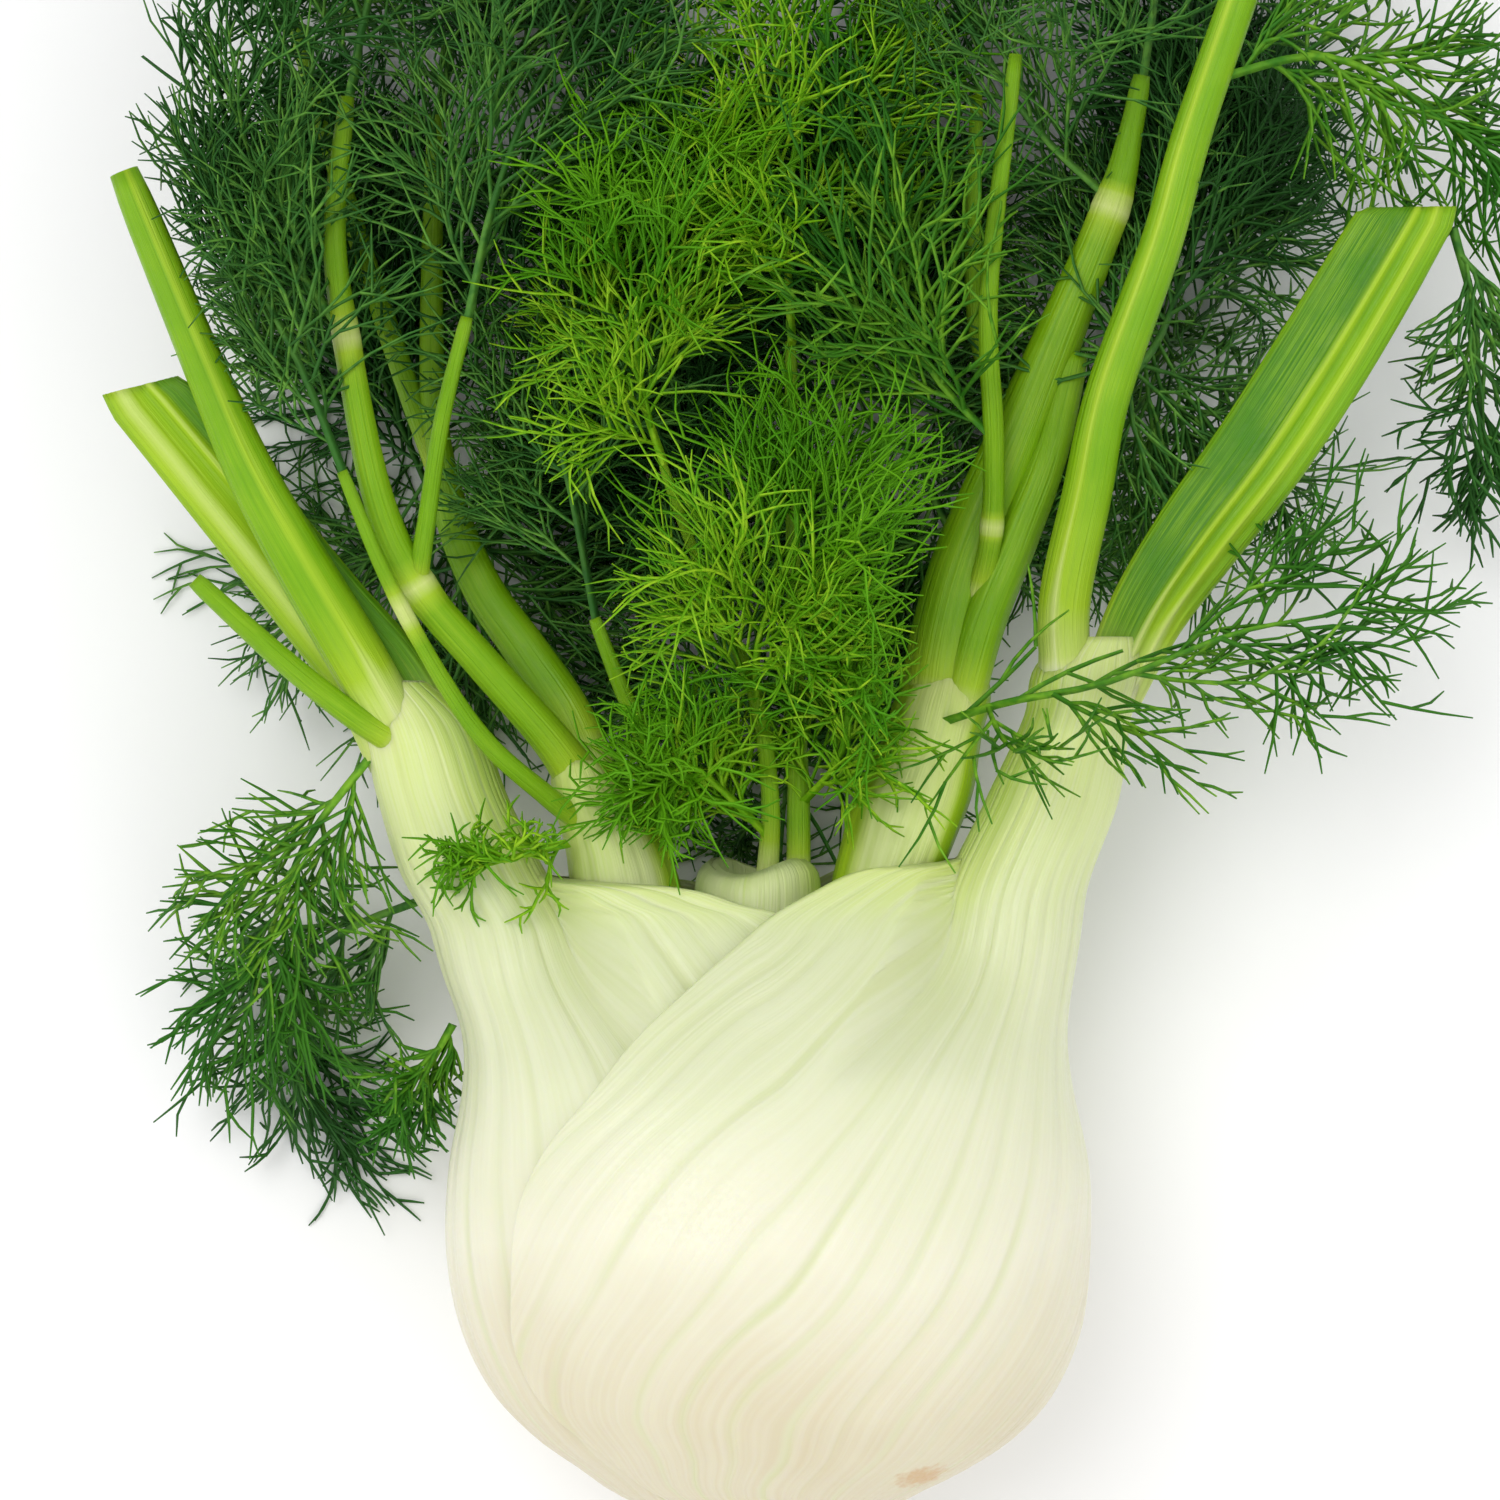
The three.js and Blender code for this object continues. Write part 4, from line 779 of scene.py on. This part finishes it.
def inner_leaf(table, ribs, green, flanks, lip):
    """green runs from the shoulder to the top, flanks add to it on the left and right, greener sides that are
    partly the petiole's own green and partly painted shade on the side turned from the light, and lip is how
    far the rim waves."""
    bottom, top = table[0][0], table[-1][0]

    def place(around, along):
        y = lerp(bottom, top, along ** 0.6)
        x, z, half_width, half_depth = read_table(table, y)
        turn = -math.pi / 2 - 2 * math.pi * around
        side = math.cos(turn)
        number = rib_number(around, ribs)
        ridge = 1 - (0.008 if lip else 0.02) * rib_groove(number)
        wave = lip * math.sin(2.0 * turn + 0.6) * smooth(0.75, 1, along)
        point = Vector((x + half_width * ridge * side, y + wave, z + half_depth * ridge * math.sin(turn)))
        # Greener left and right sides: partly the petioles' own green, partly painted shade.
        flank = flanks[0] * smooth(0.55, 0.9, -side) + flanks[1] * smooth(0.55, 0.9, side)
        return point, number, lerp(green[0], green[1], smooth(50, top, y)) + flank, 0

    return place


def open_mouth(body, depth):
    """Turns the cut face at the top of the last skin into the open end of a sheath."""
    ends = [face for face in body.faces if len(face.verts) > 50]
    face = max(ends, key=lambda end: end.calc_center_median().y)
    face.material_index = STALK_SKIN
    for inwards, down in ((0.0006, 0.0004), (0.0006, -0.0004), (0.0005, -0.003), (0.0008, -depth)):
        bmesh.ops.inset_region(body, faces=[face], thickness=inwards, depth=down, use_even_offset=False)


for name, table, stalks, ribs, green, flanks, lip, node, slot in (
    ("leaf_inner_right_petiole", INNER_RIGHT, INNER_RIGHT_STALKS, 18, (0.24, 0.3), (0.4, 0.5), 0.0,
     "leaf_inner_right", "stalk_green"),
    ("leaf_inner_left_petiole", INNER_LEFT, INNER_LEFT_STALKS, 16, (0.2, 0.32), (0.1, 0.5), 0.0,
     "leaf_inner_left", "stalk_green"),
    ("leaf_centre_petiole", CENTRE_LEAF, CENTRE_STALKS, 16, (0.16, 0.2), (0.0, 0.1), 1.2,
     "leaf_centre", "sheath_white"),
):
    body = new_body()
    add_skin(body, 110, 60, inner_leaf(table, ribs, green, flanks, lip), STALK_SKIN)
    if lip:
        open_mouth(body, 0.004)
    for rows in stalks:
        joints = [place for first, place in JOINTS if first == rows[0][:2]]
        columns = 24 if rows[0][3] > 3 else 14
        stalk_skin(body, rows, columns, green=(green[1], 1.0, 0.22), collars=joints)
    place_piece(name, body, LEAF_MATERIALS, node)

# Fronds
# Feathery leaf tips: a slim stem set with side stems, each divided again and again into soft threads.
# They are bright to dark green, and the threads are about half a millimetre thick. Each frond grows from a
# stalk, a petiole or a sheath.
FRONDS = [
    # name, colour, habit, stems, reach, thread length, seed, path
    ("frond_left_top", "dark", "dense", 16, 34, 17, 1,
     [(-63.8, 173, 54.1), (-60, 190, 55), (-53, 206, 50), (-45, 222, 41)]),
    ("frond_left_upper", "dark", "dense", 16, 24, 15, 2,
     [(-65.8, 139, 52.2), (-75, 153, 56), (-82, 169, 54), (-86, 186, 46)]),
    ("frond_left_mid", "dark", "dense", 16, 32, 17, 3,
     [(-45.7, 139.8, 55), (-42, 156, 57), (-36, 173, 55), (-28, 190, 47)]),
    ("frond_left_low", "dark", "dense", 16, 20, 14, 4,
     [(-64.4, 116.4, 57), (-70, 131, 60), (-77, 145, 60), (-82, 157, 56)]),
    ("frond_left_back", "dark", "dense", 16, 24, 15, 5,
     [(-76, 190.8, 19), (-79, 205, 15), (-80, 217, 9), (-80, 227, 4)]),
    ("frond_left_far", "dark", "dense", 16, 34, 17, 6,
     [(-52.7, 174.8, 24), (-49, 190, 21), (-42, 206, 15), (-34, 220, 7)]),
    ("frond_left_inner", "dark", "dense", 16, 27, 16, 7,
     [(-27, 94.8, 39.5), (-30, 111, 41), (-33, 128, 38), (-29, 147, 31), (-22, 166, 22)]),
    ("frond_centre_left", "bright", "dense", 14, 20, 13, 8,
     [(-16.2, 117.8, 49), (-19.5, 129, 52), (-20, 143, 54), (-16, 157, 53)]),
    ("frond_centre_right", "bright", "dense", 14, 24, 15, 9,
     [(3.3, 137.2, 43), (2.6, 153, 46), (4, 168, 46), (8, 184, 42), (12, 200, 34)]),
    ("frond_centre_low", "bright", "dense", 12, 20, 16, 10,
     [(-1.9, 82, 41.2), (-2, 90, 50), (1, 99, 56), (5, 109, 59)]),
    ("tuft_centre_left", "bright", "curly", 13, 9, 10, 11,
     [(-0.2, 61, 37.4), (-7, 68, 44), (-12, 72, 48), (-15, 71, 51)]),
    ("tuft_centre_right", "bright", "curly", 13, 11, 10, 12,
     [(4.6, 66, 35.2), (10.5, 73, 44), (12, 81, 49), (11, 89, 52)]),
    ("frond_right_top", "dark", "dense", 16, 31, 17, 13,
     [(57.7, 178.8, 39), (60, 193, 37), (63, 208, 29), (66, 222, 18)]),
    ("frond_right_mid", "dark", "dense", 16, 30, 17, 14,
     [(53.3, 159.4, 37.2), (42, 170, 38), (33, 184, 35), (26, 201, 26), (22, 215, 15)]),
    ("frond_right_inner", "mid", "open", 16, 26, 16, 15,
     [(34.4, 122, 45), (25, 132, 47), (18, 146, 46), (14, 162, 41)]),
    ("spray_right_edge", "mid", "open", 12, 20, 14, 16,
     [(66.5, 175.8, 56), (83, 179.5, 55), (97, 175, 49), (111, 167, 40)]),
    ("spray_front", "mid", "open", 11, 26, 14, 17,
     [(26.4, 79, 40.5), (36, 82, 52), (51, 85, 58), (69, 92, 59), (84, 95, 54)]),
    ("spray_left_droop", "mid", "open", 12, 17, 12, 18,
     [(-61, 74, 40), (-71, 61, 39), (-77, 48, 34), (-81, 36, 27)]),
    ("spray_left_low", "dark", "open", 12, 14, 12, 19,
     [(-54, 51, 31.5), (-66.7, 45.9, 24), (-76, 38, 15), (-78, 27, 8), (-72, 15, 2.2)]),
    ("tuft_left_petiole", "bright", "curly", 5, 9, 7, 20,
     [(-31, 60, 44.5), (-37, 58.6, 51.6), (-42, 57.6, 52.6)]),
    ("fan_left_small", "mid", "open", 7, 8, 6, 21,
     [(-49.2, 31.6, 33), (-53, 25, 32), (-56, 19, 30)]),
    ("scrap_right_end", "dark", "open", 9, 11, 10, 22,
     [(104, 154, 51), (108, 142, 46), (110, 131, 38), (113, 120, 28)]),
    ("frond_back_left", "dark", "deep", 35, 31, 15, 23,
     [(-46, 99.5, 25), (-53, 113, 17), (-60, 129, 13), (-66, 146, 11), (-70, 160, 9.5)]),
    ("frond_back_middle", "dark", "deep", 35, 31, 15, 24,
     [(4.6, 66, 34), (0, 80, 27), (-9, 95, 21), (-17, 112, 17), (-21, 130, 14), (-22, 148, 12)]),
    ("frond_back_right", "dark", "deep", 38, 33, 15, 25,
     [(30.6, 103.5, 33), (25, 117, 24), (20, 132, 19), (16, 148, 15), (14, 164, 12)]),
    ("frond_back_edge", "dark", "deep", 40, 31, 15, 26,
     [(53.4, 130, 49), (60, 138, 40), (65, 150, 32), (69, 164, 26), (72, 178, 21)]),
]
FROND_COLOURS = {
    "dark": (linear(40, 84, 34), linear(64, 122, 48), linear(106, 158, 60)),
    "mid": (linear(44, 104, 24), linear(78, 140, 30), linear(124, 176, 44)),
    "bright": (linear(74, 142, 12), linear(116, 178, 16), linear(168, 212, 44)),
}
STEM_RADIUS = 0.9
SIDE_STEM_RADIUS = 0.42
THREAD_RADIUS = 0.29
LOWEST_THREAD = 0.5
STEM_POINTS = 15
BULB_ENDS = (-44, 58)
# How each kind of frond divides: pairs of twigs on a side stem, threads on a twig, how much they bend, and
# how thick they are beside the usual thread
HABITS = {
    "dense": (5, 4, 1.15, 1.0),
    "deep": (6, 4, 1.0, 1.05),
    "open": (4, 2, 0.75, 1.25),
    "curly": (4, 3, 1.9, 1.1),
}
BARE_STALKS = [RIGHT_LONG_STALK, RIGHT_WIDE_STALK, LEFT_WIDE_STALK, LEFT_SLIM_STALK, INNER_RIGHT_STALKS[0],
               INNER_LEFT_STALKS[0]]
# The share of threads that stay where they pass before a bare stalk, and the limits that threads keep to
THREADS_BEFORE_STALKS = 0.22
LEFT_LIMIT = -91
RIGHT_LIMIT = 129
UPPER_LIMIT = 250


def frond_material(name, deep, middle, light):
    material, tree, shader = new_material(name, 0.6, 0.0)
    shader.inputs["Specular IOR Level"].default_value = 0.2
    patches, grain = add_mottle(tree, 45.0, 420.0)
    tone = add_attribute(tree, "tone")
    lightness = add_math(tree, "MULTIPLY", add_math(tree, "ADD", patches, tone), 0.5)
    colour = add_mix(tree, lightness, deep, middle)
    colour = add_mix(tree, add_math(tree, "MULTIPLY", grain, tone), colour, light)
    tree.links.new(colour, shader.inputs["Base Color"])
    add_bump(tree, shader, grain, 0.0001)
    return material


frond_materials = {tone: frond_material("frond_" + tone, *shades) for tone, shades in FROND_COLOURS.items()}

corner_curve = bpy.data.curves.new("thread_section", "CURVE")
corners = corner_curve.splines.new("POLY")
corners.points.add(2)
for i, corner in enumerate(corners.points):
    corner.co = (MM * math.cos(i * 2 * math.pi / 3), MM * math.sin(i * 2 * math.pi / 3), 0, 1)
corners.use_cyclic_u = True
thread_section = bpy.data.objects.new("thread_section", corner_curve)
scene.collection.objects.link(thread_section)


def in_bulb(point):
    if not BULB_ENDS[0] < point.y < BULB_ENDS[1]:
        return False
    left, right, back, front = read_table(BULB_OUTLINE, point.y)
    x = abs(point.x - (left + right) / 2) / ((right - left) / 2)
    z = abs(point.z - (back + front) / 2) / ((front - back) / 2)
    return x ** SECTION_POWER + z ** SECTION_POWER < 1


def bent_line(start, heading, length, steps, bend, rng, pull=Vector((0, 0, 0))):
    """Points of a thin stem that leaves a place in a direction and bends on its way, towards a pull."""
    side = Vector((rng.uniform(-1, 1), rng.uniform(-1, 1), rng.uniform(-1, 0.6))) * bend + pull
    points = [start.copy()]
    for _ in range(steps):
        heading = (heading + side / steps).normalized()
        step = points[-1] + heading * (length / steps)
        step.z = max(step.z, LOWEST_THREAD)
        points.append(step)
    return points


def fork(heading, angle, roll):
    """A direction that leaves another at an angle, rolled about it."""
    across = heading.cross(Vector((0, 0, 1)))
    across = across.normalized() if across.length > 1e-6 else Vector((1, 0, 0))
    up = across.cross(heading)
    out = across * math.cos(roll) + up * math.sin(roll)
    return heading * math.cos(angle) + out * math.sin(angle)


def is_hidden(points, rng):
    """True for a thread that would enter the bulb or stray too far out, and for most that would cover a
    stalk."""
    tip = points[-1]
    if in_bulb(tip) or tip.y > UPPER_LIMIT or tip.x > RIGHT_LIMIT or (
            tip.y > 110 and tip.x < LEFT_LIMIT + rng.uniform(-7, 7)):
        return True
    for point in (points[len(points) // 2], points[-1]):
        for stalk in BARE_STALKS:
            for low, high in zip(stalk, stalk[1:]):
                if low[1] <= point.y < high[1]:
                    share = (point.y - low[1]) / (high[1] - low[1])
                    lean = math.hypot(high[0] - low[0], high[1] - low[1]) / (high[1] - low[1])
                    reach = lerp(low[3], high[3], share) * lean + 0.5
                    beside = abs(point.x - lerp(low[0], high[0], share)) >= reach
                    covers = not beside and point.z > lerp(low[2], high[2], share)
                    if covers and rng.random() > THREADS_BEFORE_STALKS:
                        return True
    return False


def add_line(lines, points, radius, tip):
    last = len(points) - 1
    lines.append((points, [lerp(radius, tip, (i / last) ** 2) for i in range(last + 1)]))


def along_line(points, share):
    at = share * (len(points) - 1)
    i = min(int(at), len(points) - 2)
    return points[i].lerp(points[i + 1], at - i), (points[i + 1] - points[i]).normalized()


def grow_side_stem(lines, start, heading, length, thread, habit, rng, pull):
    """A side stem with pairs of twigs, which get shorter towards its tip."""
    pairs, threads, bend, thickness = habit
    radius = THREAD_RADIUS * thickness
    stem = bent_line(start, heading, length, 4, bend * 0.5, rng, pull * 0.6)
    add_line(lines, stem, SIDE_STEM_RADIUS * thickness, radius)
    roll = rng.uniform(-0.6, 0.6)
    for k in range(pairs):
        share = lerp(0.22, 1.0, k / (pairs - 1))
        place, along = along_line(stem, share)
        for side in (0, math.pi):
            size = thread * lerp(1.3, 0.9, share) * rng.uniform(0.7, 1.3)
            heading = fork(along, rng.uniform(0.35, 0.8), side + roll + rng.uniform(-0.8, 0.8))
            twig = bent_line(place, heading, size, 4, bend, rng, along * 0.5)
            if not is_hidden(twig, rng):
                add_line(lines, twig, radius * 1.15, radius * 0.45)
                grow_threads(lines, twig, size, threads, bend, radius, rng)


def grow_threads(lines, twig, size, threads, bend, radius, rng):
    """Threads along a twig, each with one finer thread of its own."""
    roll = rng.uniform(-1, 1)
    for k in range(threads):
        share = lerp(0.2, 0.75, k / (threads - 1))
        place, along = along_line(twig, share)
        length = size * lerp(0.85, 0.6, share) * rng.uniform(0.7, 1.3)
        heading = fork(along, rng.uniform(0.35, 0.75), k % 2 * math.pi + roll + rng.uniform(-0.7, 0.7))
        thread = bent_line(place, heading, length, 3, bend, rng, along * 0.45)
        if is_hidden(thread, rng):
            continue
        add_line(lines, thread, radius, radius * 0.4)
        place, along = along_line(thread, rng.uniform(0.3, 0.5))
        heading = fork(along, rng.uniform(0.4, 0.7), rng.uniform(0, 2 * math.pi))
        add_line(lines, bent_line(place, heading, length * 0.6, 2, bend, rng), radius * 0.9, radius * 0.4)


def grow_frond(path, stems, reach, thread, habit, seed):
    """The lines of one frond. Its side stems are longest in the middle, and a deep frond's lowest ones reach
    wide and stay low."""
    rng = random.Random(seed)
    table = [(i, *point) for i, point in enumerate(path)]
    last = len(path) - 1
    shares = [i / (STEM_POINTS - 1) for i in range(STEM_POINTS)]
    stem = [Vector(read_table(table, last * share)) for share in shares]
    lines = [(stem, [lerp(STEM_RADIUS, THREAD_RADIUS * 1.3, share) for share in shares])]
    for i in range(stems):
        deep = habit == "deep"
        u = i / (stems - 1)
        u = lerp(0.03, 1.0, u ** 1.35) if deep else lerp(0.1, 1.0, u)
        place, along = along_line(stem, u)
        size = reach * rng.uniform(0.7, 1.05) * math.sin(math.pi * lerp(0.22, 0.82, u)) ** 0.7
        spreads_low = deep and u < 0.34
        side = 0 if i % 2 else math.pi
        size *= 1.6 if spreads_low else 1.0
        angle = rng.uniform(1.2, 2.5) if spreads_low else rng.uniform(0.6, 1.05)
        heading = fork(along, angle * (1 if u < 0.97 else 0.2), side + rng.uniform(-1.2, 1.2))
        if spreads_low:
            heading.z = -abs(heading.z)
        grow_side_stem(lines, place, heading, size * 0.8, thread, HABITS[habit], rng, along)
    return lines


def frond_piece(name, lines, material, node):
    """Three-sided tubes along the lines, in one mesh. Each tube has a green of its own."""
    curve = bpy.data.curves.new(name, "CURVE")
    curve.dimensions = "3D"
    curve.bevel_mode = "OBJECT"
    curve.bevel_object = thread_section
    curve.use_fill_caps = True
    for points, radii in lines:
        spline = curve.splines.new("POLY")
        spline.points.add(len(points) - 1)
        places = [value for point in points for value in (*(point * MM), 1)]
        spline.points.foreach_set("co", places)
        spline.points.foreach_set("radius", radii)
    holder = bpy.data.objects.new(name + "_line", curve)
    scene.collection.objects.link(holder)
    bpy.context.view_layer.update()
    mesh = bpy.data.meshes.new_from_object(holder.evaluated_get(bpy.context.evaluated_depsgraph_get()))
    bpy.data.objects.remove(holder)
    body = bmesh.new()
    body.from_mesh(mesh)
    bpy.data.meshes.remove(mesh)
    layer = body.verts.layers.float.new("tone")
    rng = random.Random(len(lines))
    tones = [tone for points, _ in lines for tone in [rng.random()] * (3 * len(points))]
    for vert, tone in zip(body.verts, tones):
        vert[layer] = tone
    place_piece(name, body, [material], node)


for node, tone, habit, stems, reach, thread, seed, path in FRONDS:
    lines = grow_frond(path, stems, reach, thread, habit, seed)
    frond_piece(node + "_threads", lines, frond_materials[tone], node)
bpy.data.objects.remove(thread_section)
